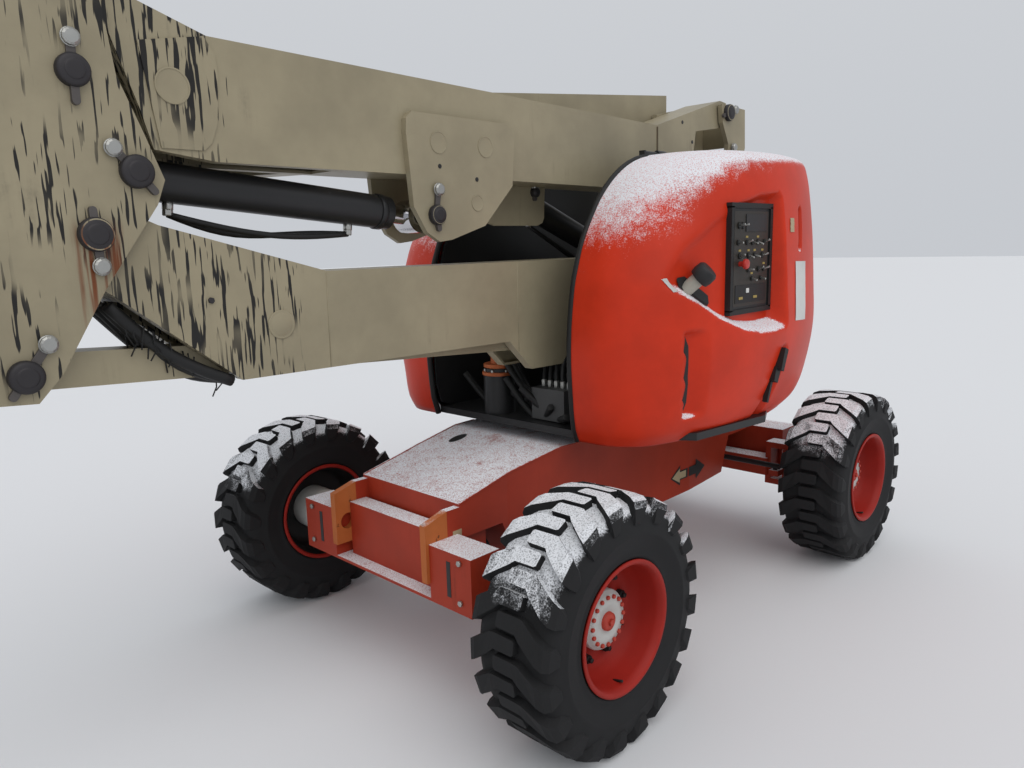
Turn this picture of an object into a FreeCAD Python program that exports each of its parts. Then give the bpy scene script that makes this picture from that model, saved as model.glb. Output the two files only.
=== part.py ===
import FreeCAD, Part
import Sketcher
import math
import os

# Articulating boom lift, stowed on its wheels, in millimetres.
# Machine frame: X runs from the platform to the steered axle, Z is up from the ground.

os.makedirs("parts", exist_ok=True)
doc = FreeCAD.newDocument("boom_lift")
sheet = doc.addObject("Spreadsheet::Sheet", "Sizes")

# Driving sizes: name, millimetres
SIZES = (
    ("axle_x", 1030),
    ("track_half", 854.5),
    ("tyre_radius", 420),
    ("tyre_width", 310),
    ("bead_radius", 210),
    ("flange_radius", 222),
    ("king_pin_inset", 264.5),
    ("hub_inset", 130),
    ("lug_hole_y", 283),
    ("lug_hole_z", 529),
    ("lug_hole_radius", 33),
    ("table_z", 850),
    ("hood_inner_y", 420),
    ("hood_wall", 8),
    ("plate_near_y", -270),
    ("plate_mid_y", -34),
    ("plate_far_y", 206),
    ("plate_wall", 24),
    ("platform_back_x", -4220),
    ("platform_depth", 760),
    ("platform_width", 1830),
    ("platform_floor_z", 330),
    ("platform_height", 1100),
    ("rail_radius", 19),
)
for row, (alias, value) in enumerate(SIZES, start=1):
    sheet.set("A%d" % row, alias)
    sheet.set("B%d" % row, str(value))
    sheet.setAlias("B%d" % row, alias)
doc.recompute()


def size(alias):
    """A driving size in millimetres, read from the sheet."""
    return float(sheet.get(alias))


FRAME_SHIFT = "-(Sizes.platform_back_x - Sizes.platform_depth + Sizes.axle_x + Sizes.tyre_radius) / 2"


def place(thing, x, y, z):
    """Sets a feature's position; text is an expression on the sheet."""
    for axis, value in zip("xyz", (x, y, z)):
        if isinstance(value, str):
            thing.setExpression("Placement.Base." + axis, value)
        else:
            base = thing.Placement.Base
            setattr(base, axis, value)
            thing.Placement.Base = base
    return thing


def box(name, x, y, z, length, width, height):
    """A box from its low corner and three lengths."""
    thing = doc.addObject("Part::Box", name)
    for prop, value in (("Length", length), ("Width", width), ("Height", height)):
        if isinstance(value, str):
            thing.setExpression(prop, value)
        else:
            setattr(thing, prop, value)
    return place(thing, x, y, z)


TURNS = {
    "x": FreeCAD.Rotation(FreeCAD.Vector(0, 1, 0), 90),
    "y": FreeCAD.Rotation(FreeCAD.Vector(1, 0, 0), -90),
    "z": FreeCAD.Rotation(),
}


def rod(name, axis, x, y, z, radius, length):
    """A round bar from the given point along +X, +Y or +Z."""
    thing = doc.addObject("Part::Cylinder", name)
    thing.Placement.Rotation = TURNS[axis]
    for prop, value in (("Radius", radius), ("Height", length)):
        if isinstance(value, str):
            thing.setExpression(prop, value)
        else:
            setattr(thing, prop, value)
    return place(thing, x, y, z)


def bar(name, start, end, radius):
    """A round bar between two points."""
    first = FreeCAD.Vector(*start)
    last = FreeCAD.Vector(*end)
    thing = doc.addObject("Part::Cylinder", name)
    thing.Radius = radius
    thing.Height = (last - first).Length
    thing.Placement = FreeCAD.Placement(first, FreeCAD.Rotation(FreeCAD.Vector(0, 0, 1), last - first))
    return thing


def link(name, start, end, half_height, y, width):
    """A flat bar with square ends between two points of the XZ plane."""
    run = math.hypot(end[0] - start[0], end[1] - start[1])
    slope = math.degrees(math.atan2(end[1] - start[1], end[0] - start[0]))
    thing = doc.addObject("Part::Box", name)
    thing.Length = run
    thing.Width = width
    thing.Height = 2 * half_height
    spin = FreeCAD.Rotation(FreeCAD.Vector(0, 1, 0), -slope)
    corner = FreeCAD.Vector(start[0], y, start[1]) + spin.multVec(FreeCAD.Vector(0, 0, -half_height))
    thing.Placement = FreeCAD.Placement(corner, spin)
    return thing


def plate(name, y, thick, points, holes=(), plane="XZ"):
    """A padded outline in the XZ plane (or the XY plane, with y as its height)."""
    body = doc.addObject("PartDesign::Body", name)
    low_a = min(p[0] for p in points) - 100
    low_b = min(p[1] for p in points) - 100
    outline = body.newObject("Sketcher::SketchObject", name + "_outline")
    base = [f for f in body.Origin.OriginFeatures if f.Role == plane + "_Plane"][0]
    outline.AttachmentSupport = [(base, "")]
    outline.MapMode = "FlatFace"
    count = len(points)
    local = [(p[0] - low_a, p[1] - low_b) for p in points]
    for i in range(count):
        a, b = local[i], local[(i + 1) % count]
        outline.addGeometry(Part.LineSegment(FreeCAD.Vector(a[0], a[1], 0), FreeCAD.Vector(b[0], b[1], 0)), False)
    for i in range(count):
        outline.addConstraint(Sketcher.Constraint("Coincident", i, 2, (i + 1) % count, 1))
    for i, a in enumerate(local):
        outline.addConstraint(Sketcher.Constraint("DistanceX", -1, 1, i, 1, a[0]))
        outline.addConstraint(Sketcher.Constraint("DistanceY", -1, 1, i, 1, a[1]))
    for hole_x, hole_z, radius in holes:
        centre = FreeCAD.Vector(hole_x - low_a, hole_z - low_b, 0)
        ring = outline.addGeometry(Part.Circle(centre, FreeCAD.Vector(0, 0, 1), radius), False)
        outline.addConstraint(Sketcher.Constraint("Radius", ring, radius))
        outline.addConstraint(Sketcher.Constraint("DistanceX", -1, 1, ring, 3, centre.x))
        outline.addConstraint(Sketcher.Constraint("DistanceY", -1, 1, ring, 3, centre.y))
    pad = body.newObject("PartDesign::Pad", name + "_pad")
    pad.Profile = outline
    if isinstance(thick, str):
        pad.setExpression("Length", thick)
    else:
        pad.Length = thick
    outline.Visibility = False
    if plane == "XZ":
        pad.Reversed = True
        return place(body, low_a, y, low_b)
    return place(body, low_a, low_b, y)


def fuse(name, things):
    """Joins several features into one."""
    thing = doc.addObject("Part::MultiFuse", name)
    thing.Shapes = list(things)
    return thing


def cut(name, base, tool):
    """Takes one feature away from another."""
    thing = doc.addObject("Part::Cut", name)
    thing.Base = base
    thing.Tool = tool
    return thing


NODES = []
FIT = 0.05


def node(name, thing):
    """The last object of a sub-part, moved from the machine frame to the shared frame."""
    thing.Label = name
    thing.setExpression("Placement.Base.x", FRAME_SHIFT)
    NODES.append(thing)
    return thing


def mirror(name, source):
    """The same feature on the other side of the XZ plane."""
    thing = doc.addObject("Part::Mirroring", name)
    thing.Source = source
    thing.Base = FreeCAD.Vector(0, 0, 0)
    thing.Normal = FreeCAD.Vector(0, 1, 0)
    return thing


def group(name, things):
    """Several loose solids under one piece."""
    thing = doc.addObject("Part::Compound", name)
    thing.Links = list(things)
    return thing


# Chassis: a box beam whose deck climbs from both ends to the slew ring, with tie-down lugs on its cheeks
FRAME_PLAN = ((-1099, -268), (-1099, -298), (-850, -298), (-420, -335), (420, -335), (850, -298), (1099, -298),
              (1099, -268), (1099, 298), (850, 298), (420, 335), (-420, 335), (-850, 298), (-1099, 298))
FRAME_SIDE = ((-1099, 561), (-880, 561), (-800, 373), (800, 373), (880, 561), (1099, 561), (1099, 694), (820, 757),
              (560, 800), (-560, 800), (-820, 757), (-1099, 694))
HOLLOW_SIDE = ((-1087, 549), (-880, 573), (-800, 385), (800, 385), (880, 573), (1087, 549), (1087, 685), (820, 745),
               (560, 788), (-560, 788), (-820, 745), (-1087, 685))
frame_hollow = doc.addObject("Part::Common", "frame_hollow")
frame_hollow.Base = plate("hollow_plan", 370, 440, tuple((x * 0.99, y * 0.94) for x, y in FRAME_PLAN), plane="XY")
frame_hollow.Tool = plate("hollow_side", -340, 680, HOLLOW_SIDE)
frame_beam = doc.addObject("Part::Common", "frame_beam")
frame_beam.Base = plate("frame_plan", 370, 440, FRAME_PLAN, plane="XY")
frame_beam.Tool = plate("frame_side", -340, 680, FRAME_SIDE)
chassis_bits = [
    cut("spine", frame_beam, frame_hollow),
    box("hanger_inner", 905, -60, 370, 30, 120, 200),
    box("hanger_outer", 1066, -60, 370, 20, 120, 200),
    rod("oscillation_pin", "x", 900, 0, 410, 30, 185),
]
for end, side_x in (("rear", -1), ("front", 1)):
    for side, side_y in (("right", -268), ("left", 268)):
        low_x = -1160 if side_x < 0 else 1080
        low_y = -298 if side_y < 0 else 268
        chassis_bits.append(box("cheek_%s_%s" % (end, side), low_x, low_y, 385, 80, 30, 298))
lugs = []
for end, side_x in (("rear", -1), ("front", 1)):
    for side, side_y in (("right", -1), ("left", 1)):
        tag = end + "_" + side
        lug_y = side_y * size("lug_hole_y") - 15
        outline = ((-1263, 440), (-1263, 653), (-1160.3, 683), (-1160.3, 440))
        points = tuple((-side_x * x if side_x > 0 else x, z) for x, z in outline)
        holes = ((side_x * 1207, size("lug_hole_z"), size("lug_hole_radius")),)
        lugs.append(plate("lug_" + tag, lug_y, 30, points, holes))
        low_y = 298.3 if side_y > 0 else -514.3
        low_x, deep = (-1250, 137) if side_x < 0 else (1080, 170)
        chassis_bits.append(box("end_box_" + tag, low_x, low_y, 385, deep, 216, 200))
    low_x, deep = (-1250, 137) if side_x < 0 else (1080, 170)
    chassis_bits.append(box("end_lip_" + end, low_x, -514, 373, deep, 1028, 12))
    chassis_bits.append(box("cross_box_" + end, -1193 if side_x < 0 else 1080, -267.7, 385, deep - 57, 535.4, 221))

# Drive axle housing bolted under the frame, the steered axle beam hangs on its centre pin
axle_end = size("track_half") - size("hub_inset") - 0.3
king_y = size("track_half") - size("king_pin_inset")
drive_tube = rod("drive_tube", "y", "-Sizes.axle_x", -axle_end, 420, 75, 2 * axle_end)
drive_centre = rod("drive_centre", "y", "-Sizes.axle_x", -150, 420, 135, 300)
axle_bits = [drive_tube, drive_centre]
for side, side_y in (("right", -1), ("left", 1)):
    axle_bits.append(box("axle_pad_" + side, -1112.7, side_y * 200 - 60, 340, 177.4, 120, 220.7))
node("drive_axle", fuse("drive_axle_fused", axle_bits))
axle_room = fuse("axle_room", [rod("axle_notch", "y", "-Sizes.axle_x", -600, 420, 80, 1200),
                              rod("axle_notch_centre", "y", "-Sizes.axle_x", -155, 420, 140, 310)])
node("chassis_frame", cut("chassis_frame", fuse("chassis_solid", chassis_bits), axle_room))
node("tie_down_lugs", group("tie_down_lugs_group", lugs))

beam = [
    box("beam_tube", 960, 105 - king_y, 350, 100, 2 * king_y - 210, 95),
    box("beam_centre", 945, -110, 335, 110, 220, 122),
]
for side, side_y in (("right", -1), ("left", 1)):
    low_y = side_y * (king_y - 35) - 85
    for level, low_z in (("upper", 505), ("lower", 305)):
        beam.append(box("yoke_%s_%s" % (level, side), 975, low_y, low_z, 95, 170, 30))
    low_y = side_y * (king_y - 105) - 15
    beam.append(box("yoke_web_" + side, 975, low_y, 305, 95, 30, 230))
beam_bores = [rod("oscillation_bore", "x", 900, 0, 410, 30 + FIT, 200)]
for side, side_y in (("right", -1), ("left", 1)):
    beam_bores.append(rod("king_bore_" + side, "z", "Sizes.axle_x", side_y * king_y, 290, 18 + FIT, 260))
node("steer_axle", cut("steer_axle", fuse("steer_axle_solid", beam), fuse("steer_axle_bores", beam_bores)))

for side, side_y in (("right", -1), ("left", 1)):
    spindle_y = king_y + 10 if side_y > 0 else -axle_end
    arm_y = side_y * (king_y - 15) - 25
    steer_bits = [
        box("steer_block_" + side, 990, side_y * king_y - 30, 342, 80, 60, 156),
        rod("king_pin_" + side, "z", "Sizes.axle_x", side_y * king_y, 300, 18, 240),
        rod("steer_spindle_" + side, "y", "Sizes.axle_x", spindle_y, 420, 55, axle_end - king_y - 10),
        box("steer_arm_" + side, 850, arm_y, 390, 150, 50, 30),
    ]
    node("steer_knuckle_" + side, fuse("steer_knuckle_" + side, steer_bits))
tie_bits = [rod("tie_rod_bar", "y", 872, -king_y - 10, 440, 14, 2 * king_y + 20)]
for side, side_y in (("right", -1), ("left", 1)):
    tie_bits.append(rod("tie_stub_" + side, "z", 872, side_y * (king_y - 15), 420.3, 12, 12))
node("tie_rod", fuse("tie_rod_fused", tie_bits))


def turned(name, profile, x, y, z, flip):
    """A profile of (radius, outward offset) pairs turned about an axle along Y."""
    body = doc.addObject("PartDesign::Body", name)
    ring = body.newObject("Sketcher::SketchObject", name + "_section")
    base = [f for f in body.Origin.OriginFeatures if f.Role == "XY_Plane"][0]
    ring.AttachmentSupport = [(base, "")]
    ring.MapMode = "FlatFace"
    count = len(profile)
    lift = 500
    pts = [(p[0] + 0.0, p[1] * flip + lift) for p in profile]
    for i in range(count):
        a, b = pts[i], pts[(i + 1) % count]
        ring.addGeometry(Part.LineSegment(FreeCAD.Vector(a[0], a[1], 0), FreeCAD.Vector(b[0], b[1], 0)), False)
    for i in range(count):
        ring.addConstraint(Sketcher.Constraint("Coincident", i, 2, (i + 1) % count, 1))
    for i, a in enumerate(pts):
        ring.addConstraint(Sketcher.Constraint("DistanceX", -1, 1, i, 1, a[0]))
        ring.addConstraint(Sketcher.Constraint("DistanceY", -1, 1, i, 1, a[1]))
    spin = body.newObject("PartDesign::Revolution", name + "_turn")
    spin.Profile = ring
    spin.ReferenceAxis = (ring, ["V_Axis"])
    spin.Angle = 360
    ring.Visibility = False
    return place(body, x, y - lift, z)


# Wheels: a wide lugged tyre on a deep-dished rim with a planetary hub
R = size("tyre_radius")
HALF = size("tyre_width") / 2
BEAD = size("bead_radius")
FLANGE = size("flange_radius")
TYRE = ((BEAD, -HALF + 30), (BEAD + 40, -HALF + 8), (R - 110, -HALF), (R - 45, -HALF + 8), (R, -HALF + 34),
        (R, HALF - 34), (R - 45, HALF - 8), (R - 110, HALF), (BEAD + 40, HALF - 8), (BEAD, HALF - 30),
        (BEAD + 60, HALF - 40), (R - 60, HALF - 40), (R - 60, -HALF + 40), (BEAD + 60, -HALF + 40))
RIM = ((80, -14), (186, -14), (186, -90), (202, -HALF + 12), (FLANGE, -HALF + 12), (FLANGE, -HALF + 20),
       (BEAD, -HALF + 25), (BEAD, HALF - 25), (FLANGE, HALF - 20), (FLANGE, HALF - 12), (202, HALF - 12),
       (196, 60), (160, 0), (80, 0))
WHEELS = (("drive", -1, "right", -1), ("drive", -1, "left", 1), ("steer", 1, "right", -1), ("steer", 1, "left", 1))
for axle, side_x, side, side_y in WHEELS:
    tag = axle + "_" + side
    x = side_x * size("axle_x")
    y = side_y * size("track_half")
    tyre = turned("tyre_turned_" + tag, TYRE, x, y, R, side_y)
    node("tyre_" + tag, group("tyre_group_" + tag, [tyre]))
    rim = turned("rim_turned_" + tag, RIM, x, y, R, side_y)
    hub_in = y - side_y * size("hub_inset")
    hub = rod("hub_" + tag, "y", x, min(hub_in, y + side_y * 70), R, 100, 200)
    cap = rod("hub_cap_" + tag, "y", x, y + 70 if side_y > 0 else y - 90, R, 55, 20)
    wheel_bits = [rim, hub, cap]
    for i in range(10):
        turn = 2 * math.pi * i / 10
        bolt_y = y if side_y > 0 else y - 24
        wheel_bits.append(rod("bolt_%s_%d" % (tag, i), "y", x + 128 * math.cos(turn), bolt_y,
                              R + 128 * math.sin(turn), 13, 24))
    node("rim_" + tag, fuse("rim_fused_" + tag, wheel_bits))

# Slew ring and turntable
node("slew_ring", cut("slew_ring", rod("ring_outer", "z", 0, 0, 800.2, 400, 49.6), rod("ring_bore", "z", 0, 0, 790, 300, 80)))

TABLE = ((-560, -418), (-300, -800), (150, -860), (650, -640), (929.7, -400), (929.7, 400), (650, 640),
         (150, 860), (-300, 800), (-560, 418))
base_z = size("table_z")
top = base_z + 30
table_bits = [plate("table_plate", base_z, 30, TABLE, plane="XY")]
TOWER = ((520, top), (520, 1230), (690, 1530), (740, 1590), (860, 1590), (929.7, 1500), (929.7, top))
for level, low_y in (("near", "Sizes.plate_near_y"), ("mid", "Sizes.plate_mid_y")):
    table_bits.append(plate("tower_plate_" + level, low_y, "Sizes.plate_wall", TOWER))
table_bits.append(rod("pin_lower_foot", "y", 800, -292, 1504, 40, 286))
table_bits.append(rod("pin_timing_foot", "y", 612, -292, 1179, 25, 286))
table_bits.append(box("tower_tail", 899.7, -270, top, 30, 500, 220))
BULKHEAD = ((-560, 900), (-590, 1000), (-590, 1240), (-560, 1440), (-505, 1620), (-440, 1735), (-360, 1825),
            (-240, 1900), (660, 1900), (800, 1700), (850, 1400), (850, top), (-500, top))
for side, low_y in (("right", -414), ("left", 402)):
    table_bits.append(plate("bulkhead_" + side, low_y, 12, BULKHEAD))
for side, side_y in (("right", -1), ("left", 1)):
    table_bits.append(rod("hood_rod_" + side, "x", -120, side_y * 420, 1980, 8, 440))
    for i, post_x in enumerate((-120, 308)):
        low_y = 402 if side_y > 0 else -413
        table_bits.append(box("hood_post_%s_%d" % (side, i), post_x, low_y, 1880, 12, 11, 92))
        low_y = 402 if side_y > 0 else -429
        table_bits.append(box("hood_clip_%s_%d" % (side, i), post_x, low_y, 1971, 12, 27, 18))
node("turntable", fuse("turntable_fused", table_bits))

WEIGHT = ((930, -400), (1020, -400), (1080, -200), (1096, 0), (1080, 200), (1020, 400), (930, 400))
node("counterweight", group("counterweight_group", [plate("weight_slab", 812, 333, WEIGHT, plane="XY")]))
node("engine_block", group("engine_group", [box("engine_box", -250, 470, top, 650, 290, 580)]))
node("fuel_tank", group("tank_group", [box("tank_box", -300, -740, top, 720, 280, 420)]))

drive_bits = [
    rod("swing_gearbox", "z", -470, 110, top, 70, 1050 - top),
    rod("swing_flange", "z", -470, 110, 1050, 62, 30),
    rod("swing_motor", "z", -470, 110, 1080, 34, 90),
]
node("swing_drive", fuse("swing_drive_fused", drive_bits))

panel_bits = [
    box("panel_box", -155, -852, 1345, 300, 47, 390),
    box("panel_carrier", -60, -806, 1345, 60, 391.7, 40),
]
node("ground_panel", fuse("ground_panel_fused", panel_bits))

# Hoods: moulded shells over the turntable's sides, open towards the bulkheads
# Section rows: height, front x, side y, rear x, corner radius
HOOD = (
    (846, -575, 795, 775, 200),
    (900, -595, 842, 820, 250),
    (1013, -608, 882, 862, 310),
    (1226, -616, 917, 885, 340),
    (1440, -592, 913, 875, 345),
    (1560, -556, 906, 866, 345),
    (1636, -524, 900, 857, 340),
    (1720, -472, 890, 846, 335),
    (1785, -424, 881, 835, 330),
    (1846, -362, 870, 824, 325),
    (1893, -298, 857, 811, 315),
    (1930, -228, 842, 794, 300),
    (1955, -155, 815, 770, 270),
    (1964, -110, 785, 742, 245),
)
# The side bows out: its ends turn by this angle into the corners
BOW = 18


def hood_section(row, wall, inset, lift):
    """One cross-section of a hood, inset by the wall."""
    z, front_x, side_y, rear_x, corner = row
    z = z + lift
    inner = size("hood_inner_y") - wall
    front_x, side_y, rear_x, corner = front_x + inset, side_y - inset, rear_x - inset, corner - inset
    lean = math.radians(90 + BOW)
    reach = corner * (1 + math.cos(lean))
    half_run = (rear_x - front_x) / 2 - reach
    shoulder = side_y - half_run * math.tan(math.radians(BOW / 2))
    centre_y = shoulder - corner * math.sin(lean)
    middle = math.radians(135 + BOW / 4)
    side = math.cos(middle) * corner
    rise = math.sin(middle) * corner
    front = FreeCAD.Vector(front_x, centre_y, z)
    front_mid = FreeCAD.Vector(front_x + corner + side, centre_y + rise, z)
    front_end = FreeCAD.Vector(front_x + reach, shoulder, z)
    peak = FreeCAD.Vector((front_x + rear_x) / 2, side_y, z)
    rear_end = FreeCAD.Vector(rear_x - reach, shoulder, z)
    rear_mid = FreeCAD.Vector(rear_x - corner - side, centre_y + rise, z)
    rear = FreeCAD.Vector(rear_x, centre_y, z)
    inner_front = FreeCAD.Vector(front_x, inner, z)
    inner_rear = FreeCAD.Vector(rear_x, inner, z)
    return Part.Wire([
        Part.makeLine(inner_front, front), Part.Arc(front, front_mid, front_end).toShape(),
        Part.Arc(front_end, peak, rear_end).toShape(), Part.Arc(rear_end, rear_mid, rear).toShape(),
        Part.makeLine(rear, inner_rear), Part.makeLine(inner_rear, inner_front),
    ])


def hood_loft(name, wall, inset, rows, lift):
    """A hood shell lofted through its rows."""
    thing = doc.addObject("Part::Feature", name)
    thing.Shape = Part.makeLoft([hood_section(row, wall, inset, lift) for row in rows], True, True)
    return thing


shell_wall = size("hood_wall")
low_row = (830,) + HOOD[0][1:]
hood_outer = hood_loft("hood_outer", 0, 0, HOOD, 0)
hood_inner = hood_loft("hood_inner", 3, shell_wall, (low_row,) + HOOD[1:], -shell_wall)


def pocket(name, deep_y, wide_y, floor, mouth):
    """A hollow that narrows inwards, from its floor and mouth outlines (x, z)."""
    rings = []
    for y, points in ((deep_y, floor), (wide_y, mouth)):
        corners = [FreeCAD.Vector(x, -y, z) for x, z in points]
        rings.append(Part.makePolygon(corners + corners[:1]))
    thing = doc.addObject("Part::Feature", name)
    thing.Shape = Part.makeLoft(rings, True, True)
    return thing


def sleeved(name, shell):
    """A hood shell with its two hinge sleeves on the rod."""
    sleeves = []
    for i, sleeve_x in enumerate((-20, 180)):
        sleeves.append(rod("%s_sleeve_%d" % (name, i), "x", sleeve_x, 420, 1980, 15, 60))
        sleeves.append(box("%s_strap_%d" % (name, i), sleeve_x, 425, 1945, 60, 60, 28))
    return cut(name, fuse(name + "_with_sleeves", [shell] + sleeves), rod(name + "_bore", "x", -200, 420, 1980, 8 + FIT, 700))


node("hood_left", group("hood_left_group", [sleeved("hood_whole", cut("hood_shell", hood_outer, hood_inner))]))

# The right hood is hollowed round the ground panel, with an opening for the panel itself
SCOOP_MOUTH = ((-502, 1480), (-440, 1432), (-366, 1381), (-200, 1290), (-10, 1236), (218, 1240), (206, 1350), (200, 1780),
               (175, 1806), (47, 1798), (-252, 1702), (-485, 1525))
SCOOP_FLOOR = ((-330, 1475), (-290, 1425), (-250, 1375), (-180, 1328), (-30, 1322), (168, 1322), (168, 1400), (168, 1756),
               (150, 1765), (40, 1762), (-190, 1752), (-310, 1530))
grown_floor = tuple((x + (8 if x > 0 else -8), z + (8 if z > 1500 else -8)) for x, z in SCOOP_FLOOR)
grown_mouth = tuple((x + (8 if x > 0 else -8), z + (8 if z > 1500 else -8)) for x, z in SCOOP_MOUTH)
right_outer = cut("right_outer", mirror("outer_mirror", hood_outer), pocket("scoop", 835, 930, SCOOP_FLOOR, SCOOP_MOUTH))
right_inner = cut("right_inner", mirror("inner_mirror", hood_inner), pocket("scoop_back", 827, 930, grown_floor, grown_mouth))
hood_right_shell = cut("hood_right_shell", right_outer, right_inner)
right_sleeved = mirror("right_unmirrored", sleeved("hood_right_sleeved", mirror("right_mirrored", hood_right_shell)))
panel_gap = box("panel_gap", -160, -1000, 1340, 310, 250, 400)
node("hood_right", cut("hood_right_cut", right_sleeved, panel_gap))

# Tower pivots in the XZ plane, read from the stowed pose
LOWER_FOOT = (800, 1504)
LOWER_HEAD = (-2211, 1670)
TIMING_FOOT = (612, 1179)
TIMING_HEAD = (-2399, 1345)
MID_FOOT = (-2270, 2285)
MID_HEAD = (849, 2250)
MID_LINK_FOOT = (-2218, 2048)
MID_LINK_HEAD = (901, 2013)
LIFT_FOOT = (-2099, 1823)
LIFT_HEAD = (-1119, 1726)
MAIN_PIVOT = (620, 2190)
MAIN_LIFT_FOOT = (790, 1380)
MAIN_LIFT_HEAD = (-550, 1903)


def grow(points, inset):
    """An outline moved in towards its middle by about the wall, for hollowing a tube."""
    count = len(points)
    result = []
    for i in range(count):
        p, a, b = points[i - 1], points[i], points[(i + 1) % count]
        first = FreeCAD.Vector(a[0] - p[0], a[1] - p[1], 0).normalize()
        last = FreeCAD.Vector(b[0] - a[0], b[1] - a[1], 0).normalize()
        normal = FreeCAD.Vector(-first.y - last.y, first.x + last.x, 0)
        share = inset * 2 / (normal.Length ** 2)
        result.append((a[0] + normal.x * share, a[1] + normal.y * share))
    return tuple(result)


def tube(name, points, y, width, wall, turn=1):
    """A hollow box section with closed sides, from its side outline."""
    outer = plate(name + "_outer", y, width, points)
    inner = plate(name + "_inner", y + wall, width - 2 * wall, grow(points, wall * turn))
    return cut(name, outer, inner)


def pin(name, at, y, length, radius):
    """A round pin across the plates at a pivot."""
    return rod(name, "y", at[0], y, at[1], radius, length)


# Lower boom: fork at the knuckle end, a deeper nose on the turntable
LOWER = ((-2262, 1655), (-2240, 1600), (-2200, 1538), (-1852, 1257), (-753, 1250), (-626, 1126), (545, 1112),
         (548, 1262), (640, 1300), (740, 1415), (850, 1430), (885, 1504), (860, 1565), (800, 1585), (650, 1575),
         (400, 1555), (-1550, 1555), (-2047, 1694), (-2150, 1740), (-2240, 1730))
lower_tube = tube("lower_tube", LOWER, -240, 200, 10)
lower_slot = box("lower_slot", -2300, -200, 1150, 1500, 120, 500)
lower_slot_cut = plate("lower_link_slot", -200, 120,
                       ((-2300, 1160), (1000, 980), (1000, 1262), (-1300, 1385), (-2300, 1520)))
lower_open = cut("lower_open", lower_tube, lower_slot_cut)
lower_boss = [lower_open]
for tag, at, radius in (("foot", LOWER_FOOT, 70), ("head", LOWER_HEAD, 62)):
    lower_boss.append(pin("lower_boss_" + tag, at, -240, 200, radius))
lower_solid = fuse("lower_solid", lower_boss)
node("lower_boom", cut("lower_boom", lower_solid, fuse("lower_bores", [
    pin("lower_bore_foot", LOWER_FOOT, -300, 300, 40 + FIT),
    pin("lower_bore_head", LOWER_HEAD, -300, 300, 38 + FIT)])))

timing_bits = [link("timing_bar", TIMING_HEAD, TIMING_FOOT, 45, -190, 100),
               pin("timing_eye_foot", TIMING_FOOT, -190, 100, 52),
               pin("timing_eye_head", TIMING_HEAD, -190, 100, 52)]
node("timing_link", cut("timing_link", fuse("timing_solid", timing_bits), fuse("timing_bores", [
    pin("timing_bore_foot", TIMING_FOOT, -300, 300, 25 + FIT),
    pin("timing_bore_head", TIMING_HEAD, -300, 300, 25 + FIT)])))

# Knuckle: two tall plates tied across, with the five tower pins
KNUCKLE = ((-2560, 1500), (-2470, 1285), (-2378, 1278), (-2320, 1340), (-2200, 1538), (-2053, 1744), (-2029, 1806),
           (-2073, 1927), (-2121, 2050), (-2150, 2330), (-2210, 2385), (-2330, 2385), (-2400, 2300), (-2560, 1850))
knuckle_bits = [
    plate("knuckle_near", "Sizes.plate_near_y", "Sizes.plate_wall", KNUCKLE),
    plate("knuckle_mid", "Sizes.plate_mid_y", "Sizes.plate_wall", KNUCKLE),
    box("knuckle_back", -2550, -260, 1500, 16, 240, 350),
    pin("knuckle_tie", (-2480, 2000), -260, 240, 20),
    pin("pin_lower_head", LOWER_HEAD, -292, 286, 38),
    pin("pin_timing_head", TIMING_HEAD, -292, 286, 25),
    pin("pin_mid_foot", MID_FOOT, -292, 286, 38),
    pin("pin_mid_link_foot", MID_LINK_FOOT, -292, 286, 25),
    pin("pin_lift_foot", LIFT_FOOT, -292, 286, 34),
]
node("knuckle", fuse("knuckle_fused", knuckle_bits))

# Mid boom: tower tube hung below its pivots, with gusset plates for the tower cylinder
MID = ((-2322, 2250), (-2125, 2180), (-2062, 1985), (-2036, 1884), (-1870, 1862), (-550, 1856), (254, 1850), (470, 1885),
       (565, 1990), (592, 2143), (905, 2190), (910, 2260), (880, 2305), (820, 2310), (254, 2143), (-1870, 2185), (-2100, 2260),
       (-2215, 2340), (-2290, 2340))
GUSSET = ((-1205, 2058), (-1229, 2035), (-1232, 1990), (-1213, 1753), (-1160, 1668), (-1104, 1636), (-1050, 1642),
          (-886, 1690), (-738, 1835), (-722, 2000), (-735, 2035), (-765, 2056))
mid_tube = tube("mid_tube", MID, -240, 200, 9)
mid_slot = plate("mid_slot", -200, 120, ((-2340, 1930), (-1930, 1930), (-1930, 2165), (-2110, 2210), (-2340, 2210)))
mid_nose_slot = plate("mid_nose_slot", -200, 120, ((530, 1780), (1000, 1780), (1000, 2190), (530, 2190)))
mid_barrel_slot = plate("mid_barrel_slot", -202, 124, ((-2140, 1840), (-1480, 1840), (-1480, 1885), (-2140, 2070)))
mid_open = cut("mid_open", mid_tube, fuse("mid_slots", [mid_slot, mid_nose_slot, mid_barrel_slot]))
mid_bits = [mid_open]
for tag, at, radius in (("foot", MID_FOOT, 52), ("head", MID_HEAD, 52)):
    mid_bits.append(pin("mid_boss_" + tag, at, -240, 200, radius))
for tag, low_y in (("near", -263), ("mid", -39.9)):
    mid_bits.append(plate("gusset_" + tag, low_y, 23 if tag == "near" else 20, GUSSET))
for tag, low_y, long in (("near", -285, 95), ("mid", -90, 75)):
    mid_bits.append(pin("pin_lift_head_" + tag, LIFT_HEAD, low_y, long, 30))
mid_solid = fuse("mid_solid", mid_bits)
node("mid_boom", cut("mid_boom", mid_solid, fuse("mid_bores", [
    pin("mid_bore_foot", MID_FOOT, -300, 300, 38 + FIT),
    pin("mid_bore_head", MID_HEAD, -300, 300, 38 + FIT)])))

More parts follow.
